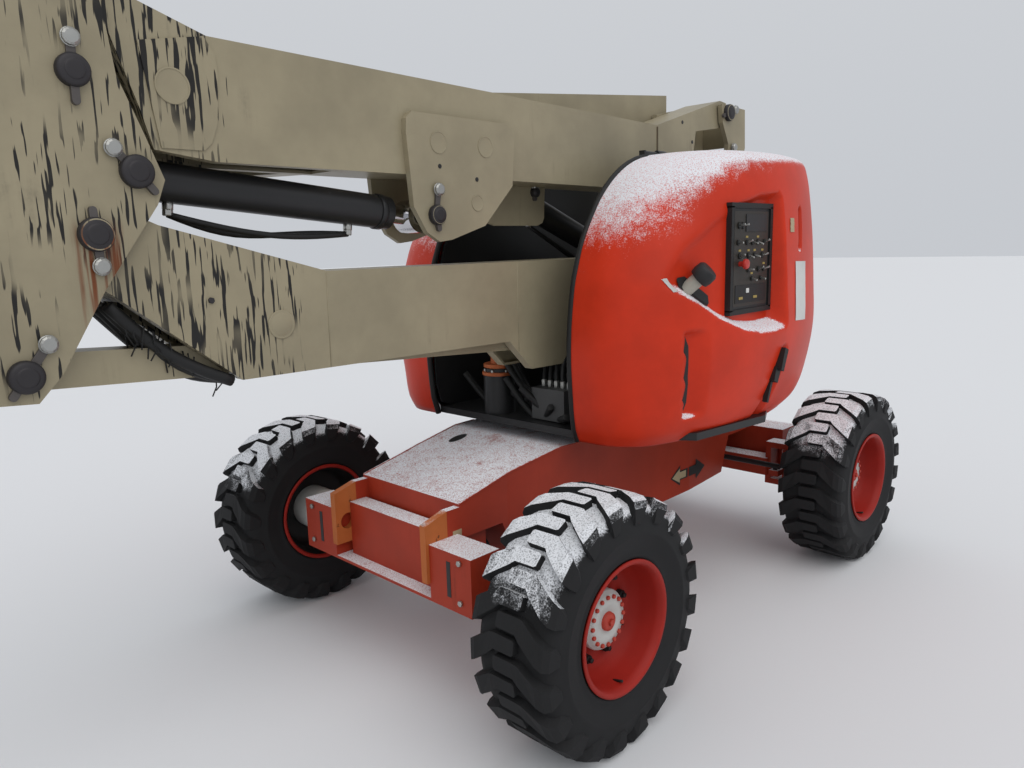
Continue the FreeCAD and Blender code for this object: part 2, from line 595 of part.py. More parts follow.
mid_link_bits = [link("mid_link_bar", MID_LINK_FOOT, MID_LINK_HEAD, 28, -180, 80),
                 pin("mid_link_eye_foot", MID_LINK_FOOT, -180, 80, 44),
                 pin("mid_link_eye_head", MID_LINK_HEAD, -180, 80, 44)]
node("mid_link", cut("mid_link", fuse("mid_link_solid", mid_link_bits), fuse("mid_link_bores", [
    pin("mid_link_bore_foot", MID_LINK_FOOT, -300, 300, 25 + FIT),
    pin("mid_link_bore_head", MID_LINK_HEAD, -300, 300, 25 + FIT)])))

# Upright: carries the main boom and its lift cylinder at the mid boom's head
UPRIGHT_NEAR = ((787, 2287), (800, 2200), (860, 2100), (860, 1960), (930, 1930), (985, 1960), (1037, 2091),
                (1027, 2283))
UPRIGHT_MID = ((787, 2292), (560, 2245), (555, 2140), (640, 2110), (800, 2060), (860, 1960), (985, 1960),
               (1037, 2091), (1027, 2283))
UPRIGHT_FAR = ((787, 2292), (560, 2245), (555, 2140), (640, 2110), (760, 2060), (770, 1900), (730, 1370),
               (760, 1320), (825, 1320), (855, 1370), (985, 1900), (1037, 2091), (1027, 2283))
UPRIGHT_ARM = ((830, 2050), (770, 1900), (730, 1370), (760, 1320), (825, 1320), (855, 1370), (985, 1900), (985, 2050))
upright_bits = [
    plate("upright_near", "Sizes.plate_near_y", "Sizes.plate_wall", UPRIGHT_NEAR),
    plate("upright_mid", "Sizes.plate_mid_y", "Sizes.plate_wall", UPRIGHT_MID),
    plate("upright_far", "Sizes.plate_far_y", "Sizes.plate_wall", UPRIGHT_FAR),
    plate("upright_arm", 8, 22, UPRIGHT_ARM),
    box("upright_spacer", 880, -34, 1965, 100, 64, 80),
    box("upright_back", 1010, -260, 2100, 14, 480, 170),
    box("upright_back_low", 900, 20, 1560, 14, 200, 260),
    pin("pin_mid_head", MID_HEAD, -292, 286, 38),
    pin("pin_mid_link_head", MID_LINK_HEAD, -292, 286, 25),
    pin("pin_main", MAIN_PIVOT, -34, 279, 38),
    pin("pin_main_lift_foot", MAIN_LIFT_FOOT, 0, 245, 35),
]
node("upright", fuse("upright_fused", upright_bits))


def slope_bar(name, start, end, first, last, radius):
    """A round bar on the line start-end, between two distances along it."""
    a = FreeCAD.Vector(start[0], start[2], start[1])
    b = FreeCAD.Vector(end[0], end[2], end[1])
    way = (b - a).normalize()
    return bar(name, tuple(a + way * first), tuple(a + way * last), radius)


def distance(a, b):
    """The distance between two pivots."""
    return math.hypot(b[0] - a[0], b[1] - a[1])


def cylinder(tag, foot, head, y, barrel_radius, rod_radius, eye_radius, eye_width, pin_foot, barrel_share):
    """A hydraulic cylinder: barrel with its foot eye, rod with its head eye."""
    run = distance(foot, head)
    foot_3d = (foot[0], foot[1], y)
    head_3d = (head[0], head[1], y)
    reach = run * barrel_share
    barrel_bits = [
        slope_bar(tag + "_tube", foot_3d, head_3d, eye_radius * 0.6, reach, barrel_radius),
        pin(tag + "_foot_eye", foot, y - eye_width / 2, eye_width, eye_radius),
    ]
    hollow = fuse(tag + "_hollow", [
        slope_bar(tag + "_bore", foot_3d, head_3d, eye_radius + 12, reach + 10, rod_radius + FIT),
        pin(tag + "_foot_bore", foot, y - eye_width, 2 * eye_width, pin_foot + FIT),
    ])
    node(tag + "_barrel", cut(tag + "_barrel", fuse(tag + "_barrel_solid", barrel_bits), hollow))
    rod_bits = [
        slope_bar(tag + "_bar", foot_3d, head_3d, eye_radius + 30, run - eye_radius * 0.6, rod_radius),
        pin(tag + "_head_eye", head, y - eye_width / 2, eye_width, eye_radius),
    ]
    node(tag + "_rod", fuse(tag + "_rod", rod_bits))


cylinder("tower_lift", LIFT_FOOT, LIFT_HEAD, -140, 55, 32, 58, 90, 34, 0.88)

# Main boom: base tube and telescoping fly, lying beside the tower
MAIN_SLOPE = 0.102


def main_line(x, drop):
    """Height below the main boom's top face at x."""
    return (x, 2259 + MAIN_SLOPE * (x + 254) - drop)


BASE = (main_line(-3000, 262), main_line(560, 262), main_line(700, 200), main_line(700, 0), main_line(-3000, 0))
base_tube = plate("base_outer", 0, 200, BASE)
base_hollow = plate("base_inner", 7, 186, (main_line(-3020, 255), main_line(420, 255), main_line(420, 7),
                                          main_line(-3020, 7)))
base_slot = plate("base_slot", 38, 124, (main_line(60, 300), main_line(720, 300), main_line(720, 216), main_line(60, 216)))
base_open = cut("base_open", base_tube, fuse("base_hollows", [base_hollow, base_slot]))
base_bits = [base_open]
for tag, low_y in (("near", 30), ("far", 148)):
    base_bits.append(plate("lift_lug_" + tag, low_y, 22,
                           (main_line(-690, 255), (-610, 1880), (-580, 1855), (-520, 1855),
                            (-490, 1880), main_line(-390, 255))))
for tag, low_y in (("near", 20), ("far", 145)):
    base_bits.append(pin("pin_main_lift_head_" + tag, MAIN_LIFT_HEAD, low_y, 35, 32))
for tag, low_y, wide, high, low in (("near", 7, 7.7, 30, 230), ("far", 185.3, 7.7, 30, 230), ("top", 40, 120, 6, 17.7),
                                    ("bottom", 40, 120, 244.3, 256)):
    base_bits.append(plate("wear_pad_" + tag, low_y, wide, (main_line(-2990, low), main_line(-2900, low),
                                                            main_line(-2900, high), main_line(-2990, high))))
base_solid = fuse("base_solid", base_bits)
base_bore = pin("base_bore", MAIN_PIVOT, -20, 240, 38 + FIT)
node("main_boom_base", cut("main_boom_base", base_solid, base_bore))

FLY_TIP = -3300
LEVEL_PIN = (-3375, 1690)
FLY = (main_line(-1350, 244), main_line(-1350, 18), main_line(FLY_TIP, 18), main_line(FLY_TIP, 244))
fly_outer = plate("fly_outer", 15, 170, tuple(reversed(FLY)))
fly_hollow = plate("fly_inner", 21, 158, (main_line(-3240, 238), main_line(-1300, 238), main_line(-1300, 24),
                                          main_line(-3240, 24)))
fly_bits = [cut("fly_open", fly_outer, fly_hollow)]
for tag, low_y in (("near", 26), ("far", 152)):
    fly_bits.append(plate("fly_ear_" + tag, low_y, 22,
                          (main_line(-3180, 240), (-3340, 1660), (-3375, 1645), (-3410, 1660), (-3420, 1690),
                           (-3405, 1725), main_line(-3290, 60), main_line(-3180, 60))))
fly_bits.append(pin("pin_level", LEVEL_PIN, 0, 200, 28))
node("main_boom_fly", fuse("main_boom_fly", fly_bits))

cylinder("main_lift", MAIN_LIFT_FOOT, MAIN_LIFT_HEAD, 100, 55, 32, 55, 80, 35, 0.86)

# Jib: a levelled bracket, the jib tube, two side links and its cylinder
JIB_FOOT = (-3440, 1650)
JIB_HEAD = (-3998, 610)
JIB_OFFSET = (-43, -195)
JIB_LINK_FOOT = (JIB_FOOT[0] + JIB_OFFSET[0], JIB_FOOT[1] + JIB_OFFSET[1])
JIB_LINK_HEAD = (JIB_HEAD[0] + JIB_OFFSET[0], JIB_HEAD[1] + JIB_OFFSET[1])
JIB_RUN = distance(JIB_FOOT, JIB_HEAD)
JIB_WAY = ((JIB_HEAD[0] - JIB_FOOT[0]) / JIB_RUN, (JIB_HEAD[1] - JIB_FOOT[1]) / JIB_RUN)
JIB_LIFT_FOOT = (-3418, 1540)
JIB_LIFT_HEAD = (JIB_FOOT[0] + 560 * JIB_WAY[0] - 74 * JIB_WAY[1], JIB_FOOT[1] + 560 * JIB_WAY[1] + 74 * JIB_WAY[0])
BRACKET = ((-3345, 1740), (-3400, 1745), (-3470, 1700), (-3500, 1640), (-3530, 1480), (-3515, 1420), (-3450, 1425),
           (-3395, 1500), (-3375, 1580), (-3350, 1638), (-3325, 1660), (-3322, 1715))
bracket_bits = []
for tag, low_y in (("near", 6), ("far", 178)):
    bracket_bits.append(plate("bracket_" + tag, low_y, 16, BRACKET))
for tag, low_y, pin_long in (("near", 0, 68), ("far", 132, 68)):
    bracket_bits.append(pin("pin_jib_foot_" + tag, JIB_FOOT, low_y, pin_long, 26))
for tag, low_y, pin_long in (("near", 0, 46), ("far", 154, 46)):
    bracket_bits.append(pin("pin_jib_link_foot_" + tag, JIB_LINK_FOOT, low_y, pin_long, 16))
bracket_bits.append(pin("pin_jib_lift_foot", JIB_LIFT_FOOT, 0, 200, 18))
bracket_bits.append(box("bracket_tie", -3402, 6, 1485, 8, 188, 20))
level_bore = pin("bracket_level_bore", LEVEL_PIN, -10, 220, 28 + FIT)
node("jib_bracket", cut("jib_bracket", fuse("jib_bracket_solid", bracket_bits), level_bore))

jib_bits = [link("jib_tube", JIB_FOOT, JIB_HEAD, 42, 60, 80),
            pin("jib_foot_eye", JIB_FOOT, 55, 90, 42), pin("jib_head_eye", JIB_HEAD, 55, 90, 42)]
JIB_LUG = ((JIB_LIFT_HEAD[0] + 60, JIB_LIFT_HEAD[1] + 20), (JIB_LIFT_HEAD[0] + 24, JIB_LIFT_HEAD[1] - 28),
           (JIB_LIFT_HEAD[0] - 30, JIB_LIFT_HEAD[1] - 30), (JIB_LIFT_HEAD[0] - 90, JIB_LIFT_HEAD[1] + 10),
           (JIB_LIFT_HEAD[0] - 20, JIB_LIFT_HEAD[1] + 110))
for tag, low_y in (("near", 60), ("far", 130)):
    jib_bits.append(plate("jib_lug_" + tag, low_y, 10, tuple(reversed(JIB_LUG))))
for tag, low_y in (("near", 58), ("far", 127)):
    jib_bits.append(pin("pin_jib_lift_head_" + tag, JIB_LIFT_HEAD, low_y, 15, 14))
CHANNEL_FOOT = (JIB_FOOT[0] - 70 * JIB_WAY[0] - 40 * JIB_WAY[1], JIB_FOOT[1] - 70 * JIB_WAY[1] + 40 * JIB_WAY[0])
CHANNEL_HEAD = (CHANNEL_FOOT[0] + 740 * JIB_WAY[0], CHANNEL_FOOT[1] + 740 * JIB_WAY[1])
FORK_FOOT = (JIB_FOOT[0] - 70 * JIB_WAY[0], JIB_FOOT[1] - 70 * JIB_WAY[1])
FORK_HEAD = (JIB_FOOT[0] + 300 * JIB_WAY[0], JIB_FOOT[1] + 300 * JIB_WAY[1])
jib_channel = fuse("jib_channel", [link("jib_channel_box", CHANNEL_FOOT, CHANNEL_HEAD, 48, 68, 64),
                                   link("jib_fork_gap", FORK_FOOT, FORK_HEAD, 60, 68, 64),
                                   pin("jib_channel_eye", JIB_FOOT, 68, 64, 53)])
jib_open = cut("jib_open", fuse("jib_solid", jib_bits[:3]), jib_channel)
jib_bores = fuse("jib_bores", [pin("jib_bore_foot", JIB_FOOT, 0, 200, 26 + FIT),
                               pin("jib_bore_head", JIB_HEAD, 0, 200, 22 + FIT)])
node("jib_boom", cut("jib_boom", fuse("jib_with_lugs", [jib_open] + jib_bits[3:]), jib_bores))

jib_link_bits = []
for tag, low_y in (("near", 32), ("far", 156)):
    jib_link_bits.append(link("jib_link_bar_" + tag, JIB_LINK_FOOT, JIB_LINK_HEAD, 20, low_y, 12))
    jib_link_bits.append(pin("jib_link_foot_eye_" + tag, JIB_LINK_FOOT, low_y, 12, 28))
    jib_link_bits.append(pin("jib_link_head_eye_" + tag, JIB_LINK_HEAD, low_y, 12, 28))
jib_link_bores = fuse("jib_link_bores", [pin("jib_link_bore_foot", JIB_LINK_FOOT, 0, 200, 16 + FIT),
                                         pin("jib_link_bore_head", JIB_LINK_HEAD, 0, 200, 16 + FIT)])
node("jib_link", cut("jib_link", fuse("jib_link_solid", jib_link_bits), jib_link_bores))
cylinder("jib_lift", JIB_LIFT_FOOT, JIB_LIFT_HEAD, 100, 27, 15, 27, 44, 18, 0.8)

# Platform support: levelled bracket with the rotator, then the platform on its turning post
ROTATOR_X = -4108
support_plate = ((-3955, 590), (-3990, 670), (-4068, 680), (-4160, 680), (-4160, 470), (-4070, 375), (-4010, 375),
                 (-3960, 480))
support_bits = []
for tag, low_y in (("near", 6), ("far", 178)):
    support_bits.append(plate("support_" + tag, low_y, 16, support_plate))
support_bits += [
    pin("pin_jib_head", JIB_HEAD, 0, 200, 22),
    pin("pin_jib_link_head", JIB_LINK_HEAD, 0, 200, 16),
    box("support_shelf", -4160, 6, 470, 100, 188, 16),
    box("support_web", -4072, 6, 470, 12, 188, 200),
    rod("rotator_body", "z", ROTATOR_X, 100, 478, 50, 190),
]
support_hole = rod("rotator_bore", "z", ROTATOR_X, 100, 300, 30 + FIT, 500)
node("platform_support", cut("platform_support", fuse("platform_support_solid", support_bits), support_hole))

back_x = size("platform_back_x")
depth = size("platform_depth")
front_x = back_x - depth
half_wide = size("platform_width") / 2
floor_z = size("platform_floor_z")
top_z = floor_z + size("platform_height")
rail = size("rail_radius")
floor_bits = [
    box("floor_plate", front_x + 4, -half_wide + 4, floor_z, depth - 8, 2 * half_wide - 8, 5),
    box("toe_front", front_x, -half_wide, floor_z - 35, 6, 2 * half_wide, 140),
    box("toe_back", back_x - 6, -half_wide, floor_z - 35, 6, 2 * half_wide, 140),
    box("toe_right", front_x, -half_wide, floor_z - 35, depth, 6, 140),
    box("toe_left", front_x, half_wide - 6, floor_z - 35, depth, 6, 140),
    box("floor_rail_a", front_x + 120, -half_wide + 4, floor_z - 45, 60, 2 * half_wide - 8, 45),
    box("floor_rail_b", back_x - 180, -half_wide + 4, floor_z - 45, 60, 2 * half_wide - 8, 45),
    rod("turn_post", "z", ROTATOR_X, 100, 345, 30, 400),
    box("post_foot", ROTATOR_X - 50, 50, floor_z - 25, 100, 100, 40),
    box("post_arm", back_x - 20, 40, floor_z - 25, ROTATOR_X - back_x + 30, 120, 40),
    box("post_head", ROTATOR_X - 60, 60, 705, 120, 80, 30),
    box("post_head_arm", back_x - 20, 60, 705, ROTATOR_X - back_x - 30, 80, 30),
    box("post_back", back_x - 20, 60, floor_z, 16, 80, 400),
]
node("platform_floor", fuse("platform_floor_fused", floor_bits))

# Rail posts: x, y
POSTS = (
    (front_x + rail, -half_wide + rail), (front_x + rail, -310), (front_x + rail, 310),
    (front_x + rail, half_wide - rail), (back_x - rail, -half_wide + rail), (back_x - rail, -310),
    (back_x - rail, 310), (back_x - rail, half_wide - rail), ((front_x + back_x) / 2, half_wide - rail),
)


def ring_bars(tag, z, right_side):
    """Rail tubes round the platform at one height, with ball corners."""
    bars = []
    for side, x in (("front", front_x + rail), ("back", back_x - rail)):
        bars.append(rod("rail_%s_%s" % (tag, side), "y", x, -half_wide + rail, z, "Sizes.rail_radius",
                        2 * (half_wide - rail)))
    for side, y in (("right", -half_wide + rail), ("left", half_wide - rail)):
        if side == "left" or right_side:
            bars.append(rod("rail_%s_%s" % (tag, side), "x", front_x + rail, y, z, "Sizes.rail_radius",
                            back_x - front_x - 2 * rail))
    for i, (x, y) in enumerate(POSTS):
        if i in (0, 3, 4, 7):
            ball = doc.addObject("Part::Sphere", "corner_%s_%d" % (tag, i))
            ball.setExpression("Radius", "Sizes.rail_radius")
            bars.append(place(ball, x, y, z))
    return bars


top_ring = fuse("top_ring", ring_bars("top", top_z - rail, True))
post_solids = [rod("post_%d" % i, "z", x, y, floor_z + 105, "Sizes.rail_radius", top_z - rail - floor_z - 105)
               for i, (x, y) in enumerate(POSTS)]
posts_whole = group("posts_whole", post_solids)
node("rail_posts", cut("rail_posts", posts_whole, top_ring))
mid_ring = cut("mid_rail", fuse("mid_ring", ring_bars("mid", floor_z + 560, False)), posts_whole)
node("guard_rails", group("guard_rails_group", [top_ring, mid_ring]))

gate_bits = [
    rod("gate_hinge_post", "z", back_x - 90, -half_wide + rail, floor_z + 105.3, 14, top_z - 2 * rail - floor_z - 105.6),
    rod("gate_free_post", "z", front_x + 90, -half_wide + rail, floor_z + 120, 14, top_z - floor_z - 200),
]
for i, z in enumerate((floor_z + 134, floor_z + 560, top_z - 94)):
    gate_bits.append(rod("gate_bar_%d" % i, "x", front_x + 90, -half_wide + rail, z, 14, depth - 180))
node("gate", fuse("gate_fused", gate_bits))

console_bits = [
    box("console_case", back_x - 260, 60, top_z - 250, 200, 420, 130),
    box("console_hood", back_x - 260, 60, top_z - 120, 200, 16, 60),
    box("console_hood_far", back_x - 260, 464, top_z - 120, 200, 16, 60),
    box("console_mount", back_x - 62, 200, top_z - 240, 23.8, 140, 60),
]
node("console", fuse("console_fused", console_bits))

# Write each sub-part once the whole model is sound
doc.recompute()
for thing in doc.Objects:
    if "Invalid" in thing.State or "Error" in thing.State:
        raise RuntimeError("%s did not recompute" % thing.Name)
for thing in NODES:
    if thing.Shape.isNull() or not thing.Shape.isValid():
        raise RuntimeError("%s has no sound shape" % thing.Label)
    thing.Shape.exportStep("parts/%s.step" % thing.Label)
print("nodes", len(NODES))
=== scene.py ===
import math
import random

import bpy
from mathutils import Matrix, Vector


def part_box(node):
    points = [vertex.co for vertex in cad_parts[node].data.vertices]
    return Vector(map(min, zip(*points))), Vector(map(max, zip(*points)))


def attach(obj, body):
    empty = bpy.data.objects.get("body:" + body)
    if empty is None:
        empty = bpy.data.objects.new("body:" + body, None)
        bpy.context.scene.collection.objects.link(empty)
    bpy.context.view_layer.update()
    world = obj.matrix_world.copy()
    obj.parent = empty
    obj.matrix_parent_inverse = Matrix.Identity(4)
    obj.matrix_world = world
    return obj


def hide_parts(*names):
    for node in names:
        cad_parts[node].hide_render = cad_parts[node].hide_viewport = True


bl_info = {
    "name": "Articulating boom lift",
    "version": (1, 0, 0),
    "blender": (4, 5, 0),
    "location": "View3D > Sidebar > Boom lift",
    "description": "Visual pieces and materials of an articulating boom lift",
    "category": "Object",
}

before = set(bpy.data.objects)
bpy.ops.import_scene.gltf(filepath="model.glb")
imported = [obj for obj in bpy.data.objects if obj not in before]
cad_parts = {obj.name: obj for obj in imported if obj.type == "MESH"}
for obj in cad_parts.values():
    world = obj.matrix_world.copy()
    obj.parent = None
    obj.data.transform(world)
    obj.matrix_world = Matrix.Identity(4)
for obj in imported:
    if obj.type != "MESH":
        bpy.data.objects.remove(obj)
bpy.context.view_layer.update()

# The machine frame has its origin between the axles; the row frame is shifted along X
SHIFT = (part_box("tyre_drive_left")[0].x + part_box("tyre_steer_left")[1].x) / 2


def at(x, y, z):
    """A point given in the machine frame, in the row frame."""
    return Vector((x + SHIFT, y, z))


class LiftSizes(bpy.types.PropertyGroup):
    tyre_radius: bpy.props.FloatProperty(name="Tyre radius", description="To the lugs' tips", default=0.42,
                                         unit="LENGTH")
    lug_count: bpy.props.IntProperty(name="Lug count", description="Tread bars on each side", default=20)
    hose_radius: bpy.props.FloatProperty(name="Hose radius", description="Hydraulic hoses", default=0.009,
                                         unit="LENGTH")


class LiftColours(bpy.types.PropertyGroup):
    boom: bpy.props.FloatVectorProperty(name="Boom paint", description="Cream paint of the booms",
                                        subtype="COLOR", size=3, default=(0.315, 0.272, 0.180))
    hood: bpy.props.FloatVectorProperty(name="Hood", description="Orange-red moulded hoods", subtype="COLOR",
                                        size=3, default=(0.60, 0.034, 0.009))
    chassis: bpy.props.FloatVectorProperty(name="Chassis", description="Darker faded red paint",
                                           subtype="COLOR", size=3, default=(0.36, 0.036, 0.014))
    rim: bpy.props.FloatVectorProperty(name="Rims", description="Red rim paint", subtype="COLOR", size=3,
                                       default=(0.33, 0.018, 0.011))
    lug_plate: bpy.props.FloatVectorProperty(name="Weathered plates",
                                             description="Orange-tan weathered paint",
                                             subtype="COLOR", size=3, default=(0.46, 0.13, 0.035))
    snow: bpy.props.FloatVectorProperty(name="Snow", description="Light dusting on upper faces",
                                        subtype="COLOR", size=3, default=(0.82, 0.84, 0.88))


def sizes():
    return bpy.context.scene.lift_sizes


def colours():
    return bpy.context.scene.lift_colours


# Shader groups
def new_group(name, inputs, outputs):
    group = bpy.data.node_groups.new(name, "ShaderNodeTree")
    for label, kind, value in inputs:
        socket = group.interface.new_socket(name=label, in_out="INPUT", socket_type="NodeSocket" + kind)
        socket.default_value = value
    for label, kind in outputs:
        group.interface.new_socket(name=label, in_out="OUTPUT", socket_type="NodeSocket" + kind)
    return group, group.nodes.new("NodeGroupInput"), group.nodes.new("NodeGroupOutput")


def noise(tree, vector, scale, detail=4.0, roughness=0.55):
    node = tree.nodes.new("ShaderNodeTexNoise")
    node.inputs["Scale"].default_value = scale
    node.inputs["Detail"].default_value = detail
    node.inputs["Roughness"].default_value = roughness
    tree.links.new(vector, node.inputs["Vector"])
    return node.outputs["Fac"]


def ramp(tree, value, low, high, to_low=0.0, to_high=1.0):
    node = tree.nodes.new("ShaderNodeMapRange")
    node.interpolation_type = "SMOOTHSTEP"
    for label, number in (("From Min", low), ("From Max", high), ("To Min", to_low), ("To Max", to_high)):
        if isinstance(number, (int, float)):
            node.inputs[label].default_value = number
        else:
            tree.links.new(number, node.inputs[label])
    tree.links.new(value, node.inputs["Value"])
    return node.outputs["Result"]


def maths(tree, kind, a, b=None, c=None):
    node = tree.nodes.new("ShaderNodeMath")
    node.operation = kind
    for socket, value in zip(node.inputs, (a, b, c)):
        if value is None:
            continue
        if isinstance(value, (int, float)):
            socket.default_value = value
        else:
            tree.links.new(value, socket)
    return node.outputs[0]


def mix_colour(tree, amount, a, b, kind="MIX"):
    node = tree.nodes.new("ShaderNodeMix")
    node.data_type = "RGBA"
    node.blend_type = kind
    for socket, value in ((node.inputs[0], amount), (node.inputs[6], a), (node.inputs[7], b)):
        if isinstance(value, (int, float)):
            socket.default_value = value
        elif isinstance(value, (tuple, list)):
            socket.default_value = tuple(value)[:3] + (1.0,)
        else:
            tree.links.new(value, socket)
    return node.outputs[2]


def stretch(tree, vector, factors):
    node = tree.nodes.new("ShaderNodeMapping")
    node.inputs["Scale"].default_value = factors
    tree.links.new(vector, node.inputs["Vector"])
    return node.outputs["Vector"]


def up_mask(tree):
    """The Z part of the surface normal, 1 on faces that look up."""
    geometry = tree.nodes.new("ShaderNodeNewGeometry")
    parts = tree.nodes.new("ShaderNodeSeparateXYZ")
    tree.links.new(geometry.outputs["Normal"], parts.inputs[0])
    return parts.outputs["Z"]


def weathering_group():
    """Paint with dirt, rust specks, black peel streaks and a dusting of snow."""
    group, start, end = new_group(
        "Weathering",
        (("Paint", "Color", (0.5, 0.5, 0.5, 1)), ("Dirt", "Color", (0.05, 0.045, 0.035, 1)),
         ("Rust", "Color", (0.13, 0.04, 0.015, 1)), ("Snow", "Color", (0.85, 0.87, 0.9, 1)),
         ("Dirt Amount", "Float", 0.4), ("Rust Amount", "Float", 0.2), ("Peel Amount", "Float", 0.0),
         ("Snow Amount", "Float", 0.0), ("Snow Slope", "Float", 0.55), ("Gloss", "Float", 0.45)),
        (("Color", "Color"), ("Roughness", "Float"), ("Height", "Float"), ("Snow Mask", "Float")),
    )
    coords = group.nodes.new("ShaderNodeTexCoord").outputs["Object"]
    patches = noise(group, coords, 3.2, 6.0, 0.6)
    grain = noise(group, coords, 70.0, 3.0, 0.6)
    runs = noise(group, stretch(group, coords, (26.0, 26.0, 2.0)), 1.0, 4.0, 0.6)
    fine = noise(group, coords, 190.0, 2.0, 0.6)
    tone = ramp(group, patches, 0.3, 0.72, 0.86, 1.1)
    toned = group.nodes.new("ShaderNodeVectorMath")
    toned.operation = "SCALE"
    group.links.new(start.outputs["Paint"], toned.inputs[0])
    group.links.new(tone, toned.inputs["Scale"])
    dirt_base = maths(group, "ADD", maths(group, "MULTIPLY", patches, 0.55),
                      maths(group, "MULTIPLY", runs, 0.45))
    dirt_low = maths(group, "SUBTRACT", 0.78, maths(group, "MULTIPLY", start.outputs["Dirt Amount"], 0.38))
    dirt = ramp(group, dirt_base, dirt_low, maths(group, "ADD", dirt_low, 0.26))
    dirt = maths(group, "MULTIPLY", dirt, ramp(group, grain, 0.3, 0.7, 0.35, 0.9))
    colour = mix_colour(group, dirt, toned.outputs[0], start.outputs["Dirt"])
    specks = noise(group, coords, 22.0, 5.0, 0.72)
    rust_low = maths(group, "SUBTRACT", 0.80, maths(group, "MULTIPLY", start.outputs["Rust Amount"], 0.22))
    rust = ramp(group, specks, rust_low, maths(group, "ADD", rust_low, 0.05))
    colour = mix_colour(group, rust, colour, start.outputs["Rust"])
    dashes = noise(group, stretch(group, coords, (95.0, 95.0, 7.5)), 1.0, 1.5, 0.5)
    zones = noise(group, coords, 4.5, 2.0, 0.5)
    peel_low = maths(group, "SUBTRACT", 0.92, maths(group, "MULTIPLY", start.outputs["Peel Amount"], 0.34))
    peel = ramp(group, dashes, peel_low, maths(group, "ADD", peel_low, 0.03))
    peel = maths(group, "MULTIPLY", peel, ramp(group, zones, 0.36, 0.52))
    colour = mix_colour(group, peel, colour, (0.012, 0.011, 0.010))
    scatter = maths(group, "ADD", maths(group, "MULTIPLY", specks, 0.5), maths(group, "MULTIPLY", fine, 0.5))
    raggedness = maths(group, "MULTIPLY", maths(group, "SUBTRACT", scatter, 0.5), 0.9)
    slope = maths(group, "ADD", up_mask(group), raggedness)
    up = ramp(group, slope, start.outputs["Snow Slope"],
              maths(group, "ADD", start.outputs["Snow Slope"], 0.30))
    drift = noise(group, coords, 5.5, 7.0, 0.65)
    bare = maths(group, "SUBTRACT", 0.72, maths(group, "MULTIPLY", start.outputs["Snow Amount"], 0.62))
    fall = ramp(group, drift, bare, maths(group, "ADD", bare, 0.22))
    crumbs = ramp(group, fine, 0.32, 0.54, 0.50, 1.0)
    snow = maths(group, "MULTIPLY", maths(group, "MULTIPLY", up, fall), crumbs)
    present = maths(group, "MINIMUM", maths(group, "MULTIPLY", start.outputs["Snow Amount"], 4.0), 1.0)
    snow = maths(group, "MULTIPLY", snow, present)
    colour = mix_colour(group, snow, colour, start.outputs["Snow"])
    rough = maths(group, "ADD", start.outputs["Gloss"], maths(group, "MULTIPLY", dirt, 0.3))
    rough = maths(group, "MINIMUM", maths(group, "ADD", rough, maths(group, "MULTIPLY", snow, 0.5)), 0.95)
    height = maths(group, "ADD", maths(group, "MULTIPLY", grain, 0.15),
                   maths(group, "MULTIPLY", snow, maths(group, "ADD", fine, 0.4)))
    lost_paint = maths(group, "MULTIPLY", maths(group, "MAXIMUM", peel, rust), 0.4)
    height = maths(group, "SUBTRACT", height, lost_paint)
    for label, value in (("Color", colour), ("Roughness", rough), ("Height", height), ("Snow Mask", snow)):
        group.links.new(value, end.inputs[label])
    return group


def worn(name, paint, dirt=0.4, rust=0.2, peel=0.0, snow=0.0, gloss=0.45, metal=0.0, coat=0.0, bump=0.15,
         dirt_colour=(0.05, 0.045, 0.035), slope=0.55, specular=0.35):
    """A painted or bare surface with the shared weathering."""
    material = bpy.data.materials.new(name)
    material.use_nodes = True
    tree = material.node_tree
    shader = tree.nodes["Principled BSDF"]
    group = tree.nodes.new("ShaderNodeGroup")
    group.node_tree = bpy.data.node_groups.get("Weathering") or weathering_group()
    group.inputs["Paint"].default_value = tuple(paint)[:3] + (1.0,)
    group.inputs["Dirt"].default_value = tuple(dirt_colour) + (1.0,)
    group.inputs["Snow"].default_value = tuple(colours().snow) + (1.0,)
    for label, value in (("Dirt Amount", dirt), ("Rust Amount", rust), ("Peel Amount", peel),
                         ("Snow Amount", snow), ("Gloss", gloss), ("Snow Slope", slope)):
        group.inputs[label].default_value = value
    relief = tree.nodes.new("ShaderNodeBump")
    relief.inputs["Strength"].default_value = bump
    relief.inputs["Distance"].default_value = 0.004
    tree.links.new(group.outputs["Color"], shader.inputs["Base Color"])
    tree.links.new(group.outputs["Roughness"], shader.inputs["Roughness"])
    tree.links.new(group.outputs["Height"], relief.inputs["Height"])
    tree.links.new(relief.outputs["Normal"], shader.inputs["Normal"])
    shader.inputs["Metallic"].default_value = metal
    shader.inputs["Coat Weight"].default_value = coat
    shader.inputs["Specular IOR Level"].default_value = specular
    return material


def change_along(thing, label, axis, start, stop, first, last):
    """One of the weathering amounts changes from first to last between two places on an axis."""
    tree = thing.node_tree
    parts = tree.nodes.new("ShaderNodeSeparateXYZ")
    tree.links.new(tree.nodes.new("ShaderNodeTexCoord").outputs["Object"], parts.inputs[0])
    group = next(n for n in tree.nodes if n.type == "GROUP")
    tree.links.new(ramp(tree, parts.outputs[axis], start, stop, first, last), group.inputs[label])
    return thing


